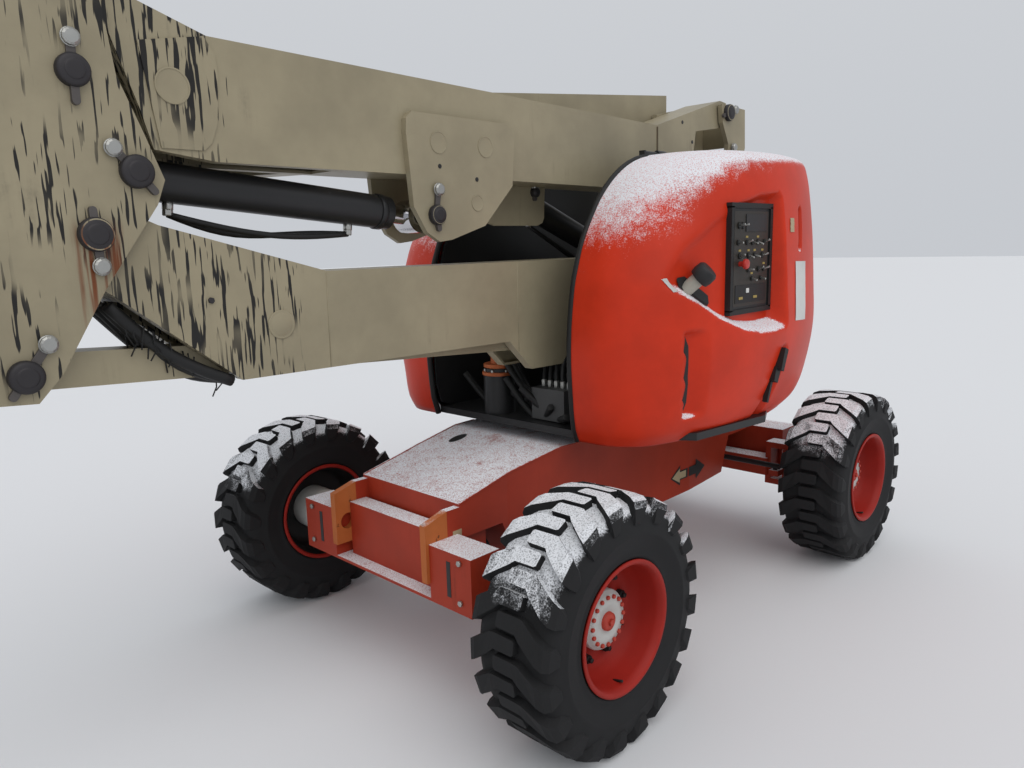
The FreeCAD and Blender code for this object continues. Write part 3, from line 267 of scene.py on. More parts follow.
def rust_below(thing, x, z):
    """Rust runs below a pin, in a narrow band that fades downwards."""
    tree = thing.node_tree
    coords = tree.nodes.new("ShaderNodeTexCoord").outputs["Object"]
    parts = tree.nodes.new("ShaderNodeSeparateXYZ")
    tree.links.new(coords, parts.inputs[0])
    away = maths(tree, "ABSOLUTE", maths(tree, "SUBTRACT", parts.outputs["X"], x + SHIFT))
    band = maths(tree, "SUBTRACT", 1.0, ramp(tree, away, 0.035, 0.085))
    drop = maths(tree, "MULTIPLY", ramp(tree, parts.outputs["Z"], z - 0.24, z - 0.05),
                 ramp(tree, parts.outputs["Z"], z + 0.12, z + 0.05))
    runs = ramp(tree, noise(tree, stretch(tree, coords, (70.0, 70.0, 3.5)), 1.0, 3.0), 0.42, 0.66)
    mask = maths(tree, "MULTIPLY", maths(tree, "MULTIPLY", band, drop), runs)
    shader = tree.nodes["Principled BSDF"]
    source = shader.inputs["Base Color"].links[0].from_socket
    tree.links.new(mix_colour(tree, mask, source, (0.16, 0.045, 0.012)), shader.inputs["Base Color"])
    return thing


MATERIALS = {}


def material(name):
    """The named material, made on first use."""
    if name not in MATERIALS:
        c = colours()
        recipes = {
            "boom_paint": lambda: worn(name, c.boom, 0.55, 0.12, 0.0, 0.06, 0.42, bump=0.12),
            "peeling_paint": lambda: rust_below(worn(name, c.boom, 0.5, 0.2, 0.95, 0.0, 0.45), -2.20, 1.60),
            "boom_peeled": lambda: change_along(worn(name, c.boom, 0.55, 0.15, 0.0, 0.06, 0.42),
                                                "Peel Amount", "X",
                                                -1.90 + SHIFT, -1.74 + SHIFT, 1.15, 0.10),
            "boom_peeled_low": lambda: change_along(worn(name, c.boom, 0.55, 0.15, 0.0, 0.06, 0.42),
                                                    "Peel Amount", "X",
                                                    -1.68 + SHIFT, -1.56 + SHIFT, 1.08, 0.10),
            "pin_dark": lambda: worn(name, (0.045, 0.042, 0.045), 0.5, 0.3, 0.0, 0.0, 0.5, metal=0.5,
                                     bump=0.4),
            "pin_arm": lambda: worn(name, (0.11, 0.10, 0.095), 0.6, 0.4, 0.0, 0.0, 0.5, metal=0.5, bump=0.4),
            "rust_seam": lambda: worn(name, (0.10, 0.075, 0.045), 0.6, 0.8, 0.0, 0.0, 0.7, bump=0.8),
            "decal_yellow": lambda: worn(name, (0.34, 0.25, 0.07), 0.6, 0.2, 0.0, 0.0, 0.5),
            "panel_brown": lambda: worn(name, (0.030, 0.025, 0.020), 0.5, 0.2, 0.0, 0.0, 0.5),
            "pad_white": lambda: worn(name, (0.55, 0.53, 0.47), 0.5, 0.0, 0.0, 0.0, 0.5),
            "hood_red": lambda: worn(name, c.hood, 0.10, 0.0, 0.0, 0.95, 0.42, bump=0.10, slope=0.40,
                                     specular=0.22, dirt_colour=(0.16, 0.02, 0.012)),
            "chassis_red": lambda: worn(name, c.chassis, 0.62, 0.3, 0.0, 0.80, 0.5, slope=0.72, specular=0.25,
                                        dirt_colour=(0.06, 0.022, 0.012)),
            "lug_orange": lambda: worn(name, c.lug_plate, 0.6, 0.8, 0.0, 0.3, 0.6, slope=0.8, specular=0.2),
            "rim_red": lambda: worn(name, c.rim, 0.45, 0.25, 0.0, 0.0, 0.5, specular=0.22,
                                    dirt_colour=(0.07, 0.015, 0.01)),
            "hub_white": lambda: worn(name, (0.50, 0.50, 0.48), 0.5, 0.5, 0.0, 0.0, 0.6),
            "bolt_red": lambda: worn(name, (0.45, 0.05, 0.03), 0.4, 0.6, 0.0, 0.0, 0.5),
            "black_paint": lambda: worn(name, (0.018, 0.018, 0.019), 0.25, 0.05, 0.0, 0.1, 0.38,
                                        dirt_colour=(0.07, 0.06, 0.05)),
            "cast_grey": lambda: worn(name, (0.06, 0.06, 0.06), 0.4, 0.3, 0.0, 0.2, 0.6),
            "zinc": lambda: worn(name, (0.42, 0.42, 0.40), 0.35, 0.2, 0.0, 0.0, 0.35, metal=0.9),
            "brass_rust": lambda: worn(name, (0.45, 0.12, 0.04), 0.3, 0.7, 0.0, 0.0, 0.5, metal=0.3),
            "chrome": lambda: worn(name, (0.60, 0.60, 0.62), 0.15, 0.0, 0.0, 0.0, 0.14, metal=1.0, bump=0.02),
            "tyre": lambda: change_along(worn(name, (0.016, 0.016, 0.017), 0.3, 0.0, 0.0, 0.62, 0.75,
                                              bump=0.3, slope=0.40,
                                              dirt_colour=(0.045, 0.042, 0.038), specular=0.25),
                                         "Snow Amount", "Z", 0.52, 0.68, 0.0, 0.85),
            "rubber": lambda: worn(name, (0.012, 0.012, 0.012), 0.15, 0.0, 0.0, 0.0, 0.55,
                                   dirt_colour=(0.06, 0.055, 0.05)),
            "panel_black": lambda: worn(name, (0.02, 0.02, 0.021), 0.3, 0.0, 0.0, 0.0, 0.5,
                                        dirt_colour=(0.09, 0.085, 0.08)),
            "tank_pale": lambda: worn(name, (0.42, 0.40, 0.34), 0.5, 0.0, 0.0, 0.0, 0.5),
            "label_white": lambda: worn(name, (0.62, 0.62, 0.60), 0.3, 0.1, 0.0, 0.0, 0.4),
            "decal_tan": lambda: worn(name, (0.42, 0.33, 0.20), 0.35, 0.1, 0.0, 0.0, 0.45),
            "decal_black": lambda: worn(name, (0.02, 0.02, 0.02), 0.2, 0.0, 0.0, 0.0, 0.45),
            "knob_red": lambda: worn(name, (0.5, 0.03, 0.02), 0.1, 0.0, 0.0, 0.0, 0.3),
            "deck_steel": lambda: worn(name, (0.22, 0.22, 0.21), 0.5, 0.3, 0.0, 0.5, 0.5, metal=0.4),
        }
        MATERIALS[name] = recipes[name]()
    return MATERIALS[name]


# Mesh building
class Build:
    """Collects solids into one mesh object with several materials."""

    def __init__(self, name, *slots):
        self.name = name
        self.slots = slots
        self.verts = []
        self.faces = []
        self.mats = []
        self.smooth = []

    def add(self, verts, faces, slot=0, smooth=False):
        base = len(self.verts)
        self.verts.extend(tuple(v) for v in verts)
        self.faces.extend(tuple(base + i for i in f) for f in faces)
        self.mats.extend([slot] * len(faces))
        self.smooth.extend([smooth] * len(faces))

    def box(self, low, high, slot=0):
        """A box between two corners."""
        (x0, y0, z0), (x1, y1, z1) = low, high
        verts = [Vector((x, y, z)) for x in (x0, x1) for y in (y0, y1) for z in (z0, z1)]
        self.add(verts, [(0, 1, 3, 2), (4, 6, 7, 5), (0, 4, 5, 1), (2, 3, 7, 6), (0, 2, 6, 4),
                         (1, 5, 7, 3)], slot)

    def prism(self, outline, y0, y1, slot=0):
        """An X-Z outline pushed from y0 to y1."""
        count = len(outline)
        verts = [Vector((x, y0, z)) for x, z in outline] + [Vector((x, y1, z)) for x, z in outline]
        faces = [(i, (i + 1) % count, count + (i + 1) % count, count + i) for i in range(count)]
        faces += [tuple(range(count))[::-1], tuple(range(count, 2 * count))]
        self.add(verts, faces, slot)

    def lathe(self, profile, centre, axis, slot=0, steps=32, smooth=True, closed=False):
        """A profile of (radius, along) pairs turned about an axis through centre."""
        axis = Vector(axis).normalized()
        side = axis.orthogonal().normalized()
        other = axis.cross(side)
        rings = []
        verts = []
        for radius, along in profile:
            rings.append(len(verts))
            if radius < 1e-6:
                verts.append(Vector(centre) + axis * along)
                continue
            for i in range(steps):
                turn = 2 * math.pi * i / steps
                outward = side * math.cos(turn) + other * math.sin(turn)
                verts.append(Vector(centre) + axis * along + outward * radius)
        faces = []
        spans = list(zip(range(len(profile)), range(1, len(profile))))
        if closed:
            spans.append((len(profile) - 1, 0))
        for a, b in spans:
            ra, rb = profile[a][0] < 1e-6, profile[b][0] < 1e-6
            for i in range(steps):
                j = (i + 1) % steps
                if ra and rb:
                    continue
                if ra:
                    faces.append((rings[a], rings[b] + j, rings[b] + i))
                elif rb:
                    faces.append((rings[a] + i, rings[a] + j, rings[b]))
                else:
                    faces.append((rings[a] + i, rings[a] + j, rings[b] + j, rings[b] + i))
        self.add(verts, faces, slot, smooth)

    def rod(self, start, end, radius, slot=0, steps=16):
        start, end = Vector(start), Vector(end)
        run = (end - start).length
        edge = min(radius * 0.12, 0.003)
        self.lathe([(0, 0), (radius - edge, 0), (radius, edge), (radius, run - edge), (radius - edge, run),
                    (0, run)], start, end - start, slot, steps)

    def hexagon(self, start, end, radius, slot=0):
        start, end = Vector(start), Vector(end)
        run = (end - start).length
        self.lathe([(0, 0), (radius, 0), (radius, run * 0.85), (radius * 0.86, run), (0, run)], start,
                   end - start, slot, 6, smooth=False)

    def tube(self, points, radius, slot=0, steps=8):
        """A round tube through points, with its ends closed."""
        points = [Vector(p) for p in points]
        rings = []
        side = None
        for i, p in enumerate(points):
            way = (points[min(i + 1, len(points) - 1)] - points[max(i - 1, 0)]).normalized()
            side = way.orthogonal() if side is None else side - way * side.dot(way)
            side.normalize()
            other = way.cross(side)
            turns = [2 * math.pi * k / steps for k in range(steps)]
            rings.append([p + (side * math.cos(turn) + other * math.sin(turn)) * radius for turn in turns])
        verts = [v for ring in rings for v in ring]
        faces = []
        for i in range(len(points) - 1):
            for k in range(steps):
                m = (k + 1) % steps
                faces.append((i * steps + k, i * steps + m, (i + 1) * steps + m, (i + 1) * steps + k))
        faces.append(tuple(range(steps))[::-1])
        faces.append(tuple(range(len(verts) - steps, len(verts))))
        self.add(verts, faces, slot, True)

    def finish(self, body, replaces=(), bevel=0.0):
        mesh = bpy.data.meshes.new(self.name)
        mesh.from_pydata(self.verts, [], self.faces)
        for m in self.slots:
            mesh.materials.append(material(m))
        mesh.polygons.foreach_set("material_index", self.mats)
        mesh.polygons.foreach_set("use_smooth", self.smooth)
        mesh.validate()
        mesh.update()
        thing = bpy.data.objects.new(self.name, mesh)
        bpy.context.scene.collection.objects.link(thing)
        if bevel:
            edge = thing.modifiers.new("Edges", "BEVEL")
            edge.width = bevel
            edge.segments = 2
            edge.limit_method = "ANGLE"
            edge.angle_limit = math.radians(40)
        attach(thing, body)
        if replaces:
            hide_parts(*replaces)
        return thing


def paint(node, *names):
    """Gives a CAD node its material."""
    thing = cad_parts[node]
    thing.data.materials.clear()
    for name in names:
        thing.data.materials.append(material(name))
    return thing


# Wheels
AXLE_X = 1.03
HUB_Z = 0.42
TRACK_HALF = 0.8545
WHEELS = (
    ("drive_right", -AXLE_X, -TRACK_HALF), ("drive_left", -AXLE_X, TRACK_HALF),
    ("steer_right", AXLE_X, -TRACK_HALF), ("steer_left", AXLE_X, TRACK_HALF),
)
# Tyre section: radius, distance from the middle plane
CARCASS = ((0.212, -0.122), (0.226, -0.136), (0.236, -0.1385), (0.240, -0.1365), (0.262, -0.1455),
           (0.300, -0.1510), (0.306, -0.1535), (0.312, -0.1510), (0.340, -0.1480), (0.368, -0.1400),
           (0.384, -0.1280), (0.3925, -0.105), (0.3945, -0.05), (0.395, 0.0))


class LIFT_OT_tyres(bpy.types.Operator):
    """Lugged tyres: a carcass with moulded rings and staggered, swept bars over each shoulder"""
    bl_idname = "lift.tyres"
    bl_label = "Tyres"

    def bars(self, work, centre, hand):
        s = sizes()
        count = s.lug_count
        pitch = 2 * math.pi / count
        top = s.tyre_radius
        # Stations across a bar: y, sweep, top radius, base radius, half width along the tread
        stations = (
            (-0.040, 0.000, top - 0.001, 0.391, 0.020), (-0.034, 0.000, top, 0.391, 0.026),
            (0.040, 0.000, top, 0.391, 0.027), (0.058, 0.010, top, 0.391, 0.036),
            (0.120, 0.052, top - 0.001, 0.388, 0.040),
            (0.143, 0.066, top - 0.009, 0.372, 0.040), (0.1542, 0.074, top - 0.030, 0.352, 0.037),
            (0.1548, 0.086, top - 0.078, 0.330, 0.020),
        )
        for side in (-1, 1):
            for i in range(count):
                angle = pitch * (i + (0.5 if side > 0 else 0.0))
                verts = []
                for y, sweep, high, low, half in stations:
                    for radius, share in ((high, -0.90), (high, 0.90), (low, 1.0), (low, -1.0)):
                        turn = angle + hand * (sweep + half * share) / top
                        inward = 0.012 if radius == low and y > 0.13 else 0.0
                        verts.append(centre + Vector((radius * math.cos(turn), side * (y - inward),
                                                      radius * math.sin(turn))))
                faces = []
                for k in range(len(stations) - 1):
                    a, b = 4 * k, 4 * (k + 1)
                    for m in range(4):
                        n = (m + 1) % 4
                        faces.append((a + m, a + n, b + n, b + m))
                faces.append((3, 2, 1, 0))
                end = 4 * (len(stations) - 1)
                faces.append((end, end + 1, end + 2, end + 3))
                work.add(verts, faces, 0)

    def execute(self, context):
        profile = list(CARCASS) + [(r, -y) for r, y in CARCASS[-2::-1]]
        profile += [(0.270, 0.105), (0.360, 0.100), (0.360, -0.100), (0.270, -0.105)]
        for tag, x, y in WHEELS:
            work = Build("tyre_tread_" + tag, "tyre")
            centre = at(x, y, sizes().tyre_radius)
            work.lathe(profile, centre, (0, 1, 0), 0, 96, True, True)
            self.bars(work, centre, 1)
            work.finish("wheel_" + tag, ("tyre_" + tag,))
        return {"FINISHED"}


class LIFT_OT_rims(bpy.types.Operator):
    """Deep-dished rims with planetary hubs, cover bolts and wheel nuts"""
    bl_idname = "lift.rims"
    bl_label = "Rims"

    def execute(self, context):
        profile = ((0.094, -0.012), (0.150, -0.014), (0.172, -0.020), (0.182, -0.034), (0.186, -0.080),
                   (0.196, -0.100), (0.205, -0.138), (0.213, -0.1435), (0.2215, -0.1420),
                   (0.2215, -0.1365), (0.2115, -0.132), (0.2115, 0.132), (0.2215, 0.1365),
                   (0.2215, 0.1420), (0.213, 0.1435), (0.2040, 0.138), (0.1975, 0.110), (0.1950, 0.062),
                   (0.1880, 0.046), (0.1780, 0.020), (0.160, 0.002), (0.094, 0.000))
        for tag, x, y in WHEELS:
            work = Build("rim_dish_" + tag, "rim_red", "hub_white", "bolt_red", "rubber")
            centre = at(x, y, sizes().tyre_radius)
            out = Vector((0, 1 if y > 0 else -1, 0))
            work.lathe(profile, centre, out, 0, 72, True, True)
            # Inner side drawn near-black in the rubber material as painted shade, seen through the frame on
            # the far wheels
            inner = ((0.096, -0.0125), (0.150, -0.0150), (0.1705, -0.0210), (0.1805, -0.0350),
                     (0.1845, -0.0805), (0.1945, -0.1005), (0.2035, -0.1385))
            work.lathe(inner[::-1], centre, out, 3, 72)
            hub = ((0, -0.130), (0.088, -0.130), (0.098, -0.120), (0.098, -0.02), (0.100, 0.046),
                   (0.097, 0.052), (0.090, 0.055), (0.088, 0.061), (0.052, 0.066), (0.046, 0.062),
                   (0.0, 0.062))
            work.lathe(hub, centre, out, 1, 48, True)
            cap = ((0.0, 0.0755), (0.020, 0.0755), (0.030, 0.072), (0.032, 0.060))
            work.lathe(cap[::-1], centre, out, 2, 24, True)
            work.hexagon(centre + out * 0.074, centre + out * 0.084, 0.012, 2)
            for i in range(16):
                turn = 2 * math.pi * i / 16
                spot = centre + Vector((math.cos(turn), 0, math.sin(turn))) * 0.080
                work.hexagon(spot + out * 0.058, spot + out * 0.070, 0.0075, 2)
            for i in range(9):
                turn = 2 * math.pi * (i + 0.3) / 9
                spot = centre + Vector((math.cos(turn), 0, math.sin(turn))) * 0.140
                work.hexagon(spot - out * 0.002, spot + out * 0.024, 0.0150, 3)
                work.rod(spot + out * 0.020, spot + out * 0.034, 0.0085, 3, 8)
            lip = centre + Vector((0, 0, -0.1985)) + out * 0.085
            work.rod(lip, lip + out * 0.036 + Vector((0, 0, 0.010)), 0.0045, 3, 8)
            work.finish("wheel_" + tag, ("rim_" + tag,))
        return {"FINISHED"}


# Camera, light and floor
class LIFT_OT_stage(bpy.types.Operator):
    """Plain pale floor, soft overcast light and the camera of the photograph"""
    bl_idname = "lift.stage"
    bl_label = "Stage"

    def execute(self, context):
        scene = context.scene
        floor_mesh = bpy.data.meshes.new("floor")
        floor_mesh.from_pydata([(-60, -60, 0), (60, -60, 0), (60, 60, 0), (-60, 60, 0)], [], [(0, 1, 2, 3)])
        floor = bpy.data.objects.new("floor", floor_mesh)
        scene.collection.objects.link(floor)
        ground = bpy.data.materials.new("floor")
        ground.use_nodes = True
        ground.node_tree.nodes["Principled BSDF"].inputs["Base Color"].default_value = (0.78, 0.79, 0.81, 1)
        ground.node_tree.nodes["Principled BSDF"].inputs["Roughness"].default_value = 0.95
        floor_mesh.materials.append(ground)

        world = bpy.data.worlds.new("sky")
        world.use_nodes = True
        scene.world = world
        tree = world.node_tree
        back = tree.nodes["Background"]
        coords = tree.nodes.new("ShaderNodeTexCoord")
        parts = tree.nodes.new("ShaderNodeSeparateXYZ")
        tree.links.new(coords.outputs["Generated"], parts.inputs[0])
        fade = ramp(tree, parts.outputs["Z"], -0.1, 0.9)
        tint = mix_colour(tree, fade, (0.78, 0.81, 0.86), (0.95, 0.97, 1.0))
        tree.links.new(tint, back.inputs["Color"])
        back.inputs["Strength"].default_value = 0.72

        lamp = bpy.data.lights.new("overcast", "SUN")
        lamp.energy = 0.9
        lamp.angle = math.radians(60)
        lamp.color = (1.0, 0.98, 0.95)
        sun = bpy.data.objects.new("overcast", lamp)
        sun.rotation_euler = (math.radians(35), math.radians(-18), 0)
        scene.collection.objects.link(sun)

        # The photograph's view: position, heading, tilt and roll
        yaw, pitch, roll = math.radians(45.672), math.radians(10.188), math.radians(-1.58)
        ahead = Vector((math.sin(yaw) * math.cos(pitch), math.cos(yaw) * math.cos(pitch), -math.sin(pitch)))
        right = Vector((math.cos(yaw), -math.sin(yaw), 0))
        up = right.cross(ahead)
        side = right * math.cos(roll) + up * math.sin(roll)
        top = up * math.cos(roll) - right * math.sin(roll)
        lens = bpy.data.cameras.new("camera")
        lens.lens = 27.11
        lens.sensor_width = 36.0
        lens.clip_start = 0.05
        lens.clip_end = 300
        camera = bpy.data.objects.new("camera", lens)
        camera.matrix_world = Matrix.Translation(at(-2.879, -2.323, 1.617)) @ Matrix(
            (side, top, -ahead)).transposed().to_4x4()
        scene.collection.objects.link(camera)
        scene.camera = camera
        scene.view_settings.view_transform = "Standard"
        return {"FINISHED"}


class LIFT_OT_paint(bpy.types.Operator):
    """Materials of the CAD pieces that are shown as they are"""
    bl_idname = "lift.paint"
    bl_label = "Paint the frame's pieces"

    def execute(self, context):
        plan = (
            ("boom_peeled", ("mid_boom",)),
            ("boom_peeled_low", ("lower_boom",)),
            ("boom_paint", ("mid_link", "timing_link", "upright", "main_boom_base",
                            "main_boom_fly", "jib_boom", "jib_link", "jib_bracket", "platform_support",
                            "platform_floor", "guard_rails", "rail_posts", "gate")),
            ("peeling_paint", ("knuckle",)),
            ("chassis_red", ("chassis_frame", "drive_axle", "steer_axle", "steer_knuckle_left",
                             "steer_knuckle_right")), ("lug_orange", ("tie_down_lugs",)),
            ("black_paint", ("turntable", "tower_lift_barrel", "main_lift_barrel", "jib_lift_barrel",
                             "tie_rod", "swing_drive")),
            ("chrome", ("tower_lift_rod", "main_lift_rod", "jib_lift_rod")),
            ("cast_grey", ("counterweight", "engine_block", "slew_ring")),
            ("panel_black", ("ground_panel", "console", "fuel_tank")),
            ("hood_red", ("hood_left", "hood_right")),
        )
        for name, nodes in plan:
            for node in nodes:
                paint(node, name)
        return {"FINISHED"}


# Hoods
# Section rows: height, front x, side y, rear x, corner radius
HOOD = (
    (0.846, -0.575, 0.795, 0.775, 0.200), (0.900, -0.595, 0.842, 0.820, 0.250),
    (1.013, -0.608, 0.882, 0.862, 0.310),
    (1.226, -0.616, 0.917, 0.885, 0.340), (1.440, -0.592, 0.913, 0.875, 0.345),
    (1.560, -0.556, 0.906, 0.866, 0.345),
    (1.636, -0.524, 0.900, 0.857, 0.340), (1.720, -0.472, 0.890, 0.846, 0.335),
    (1.785, -0.424, 0.881, 0.835, 0.330),
    (1.846, -0.362, 0.870, 0.824, 0.325), (1.893, -0.298, 0.857, 0.811, 0.315),
    (1.930, -0.228, 0.842, 0.794, 0.300),
    (1.955, -0.155, 0.815, 0.770, 0.270), (1.964, -0.110, 0.785, 0.742, 0.245),
)
BOW = math.radians(18)
HOOD_INNER_Y = 0.42
SCOOP_MOUTH = ((-0.502, 1.480), (-0.485, 1.525), (-0.398, 1.610), (-0.252, 1.702), (-0.091, 1.767),
               (0.047, 1.798), (0.175, 1.806), (0.200, 1.780), (0.197, 1.527), (0.206, 1.350),
               (0.218, 1.262), (0.195, 1.240), (0.080, 1.232), (-0.010, 1.236), (-0.127, 1.260),
               (-0.263, 1.317), (-0.366, 1.381), (-0.452, 1.425), (-0.490, 1.448))
# Low front and high rear corner of the opening for the ground control panel, and its face's place
PANEL_FACE_Y = -0.852
PANEL_OPENING = ((-0.160, 1.340), (0.150, 1.740))


def smooth_step(value):
    value = min(max(value, 0.0), 1.0)
    return value * value * (3 - 2 * value)


def along_rows(rows, step):
    """Rows with smoothly eased rows between them, at most a step apart in height."""
    result = []
    for i in range(len(rows) - 1):
        p, a, b, n = rows[max(i - 1, 0)], rows[i], rows[i + 1], rows[min(i + 2, len(rows) - 1)]
        count = max(2, math.ceil((b[0] - a[0]) / step))
        for k in range(count):
            t = k / count
            row = []
            for j in range(len(a)):
                slope_a = (b[j] - p[j]) / (b[0] - p[0]) * (b[0] - a[0])
                slope_b = (n[j] - a[j]) / (n[0] - a[0]) * (b[0] - a[0])
                row.append((2 * t ** 3 - 3 * t ** 2 + 1) * a[j] + (t ** 3 - 2 * t ** 2 + t) * slope_a
                           + (3 * t ** 2 - 2 * t ** 3) * b[j] + (t ** 3 - t ** 2) * slope_b)
            result.append(tuple(row))
    return result + [rows[-1]]


def hood_ring(row, side_steps, inset=0.0):
    """One level of a hood, from its front inner edge round the side to its rear inner edge."""
    front_x, side_y, rear_x, corner = row[1:]
    front_x, side_y, rear_x, corner = front_x + inset, side_y - inset, rear_x - inset, corner - inset
    lean = math.pi / 2 + BOW
    reach = corner * (1 + math.cos(lean))
    half_run = (rear_x - front_x) / 2 - reach
    shoulder = side_y - half_run * math.tan(BOW / 2)
    centre_y = shoulder - corner * math.sin(lean)
    turn_steps = max(side_steps // 6, 6)
    ring = [(front_x, HOOD_INNER_Y + (centre_y - HOOD_INNER_Y) * k / 4) for k in range(4)]
    for k in range(turn_steps):
        a = math.pi - k / turn_steps * (math.pi / 2 - BOW)
        ring.append((front_x + corner + corner * math.cos(a), centre_y + corner * math.sin(a)))
    bow_radius = half_run / math.sin(BOW)
    middle_x = (front_x + rear_x) / 2
    for k in range(side_steps + 1):
        a = math.pi / 2 + BOW - 2 * BOW * k / side_steps
        ring.append((middle_x + bow_radius * math.cos(a), side_y - bow_radius + bow_radius * math.sin(a)))
    for k in range(1, turn_steps + 1):
        a = math.pi / 2 - BOW - k / turn_steps * (math.pi / 2 - BOW)
        ring.append((rear_x - corner + corner * math.cos(a), centre_y + corner * math.sin(a)))
    ring += [(rear_x, centre_y + (HOOD_INNER_Y - centre_y) * k / 4) for k in range(1, 5)]
    return ring


def mix(a, b, share):
    return a * (1 - share) + b * share


def edge_distance(outline, x, z):
    """How far a point lies inside an outline, negative outside."""
    nearest, inside = 1e9, False
    for i, (ax, az) in enumerate(outline):
        bx, bz = outline[(i + 1) % len(outline)]
        dx, dz = bx - ax, bz - az
        share = min(max(((x - ax) * dx + (z - az) * dz) / (dx * dx + dz * dz), 0.0), 1.0)
        nearest = min(nearest, math.hypot(x - ax - dx * share, z - az - dz * share))
        if (az > z) != (bz > z) and x < (bx - ax) * (z - az) / (bz - az) + ax:
            inside = not inside
    return nearest if inside else -nearest


def groove_depth(x, z, a, b, half, depth, soft):
    """Depth of a groove with round ends between two points of the hood's side."""
    dx, dz = b[0] - a[0], b[1] - a[1]
    share = min(max(((x - a[0]) * dx + (z - a[1]) * dz) / (dx * dx + dz * dz), 0.0), 1.0)
    away = math.hypot(x - a[0] - dx * share, z - a[1] - dz * share)
    return depth * smooth_step((half + soft - away) / soft)


def scoop_depth(x, y, z):
    """Depth of the panel scoop: its floor is flat behind the panel and runs out towards the front."""
    inside = edge_distance(SCOOP_MOUTH, x, z)
    if inside <= 0:
        return 0.0
    level = 0.840 - max(-0.16 - x, 0.0) * 0.27
    wall = 0.034 + 0.052 * smooth_step((1.34 - z) / 0.10) + 0.020 * smooth_step((-0.1 - x) / 0.2)
    return max(y - level, 0.0) * smooth_step(inside / wall)


def hood_depth(x, y, z):
    """Distance from the middle plane of the right hood's side, with its scoop, slots and latch recess."""
    if y < 0.6:
        return y
    y_new = y - scoop_depth(x, y, z)
    across = x + 0.418 - (1.265 - z) * 0.118
    if -0.02 < across < 0.14 and 0.90 < z < 1.34:
        ends = smooth_step((0.178 - abs(z - 1.118)) / 0.030)
        steep, shallow = smooth_step((across + 0.008) / 0.012), smooth_step((across - 0.028) / 0.085)
        y_new -= 0.036 * ends * steep * (1 - shallow)
    y_new -= groove_depth(x, z, (0.205, 1.140), (0.118, 0.895), 0.014, 0.028, 0.030)
    y_new -= groove_depth(x, z, (0.374, 1.725), (0.356, 1.580), 0.009, 0.030, 0.014)
    return y_new


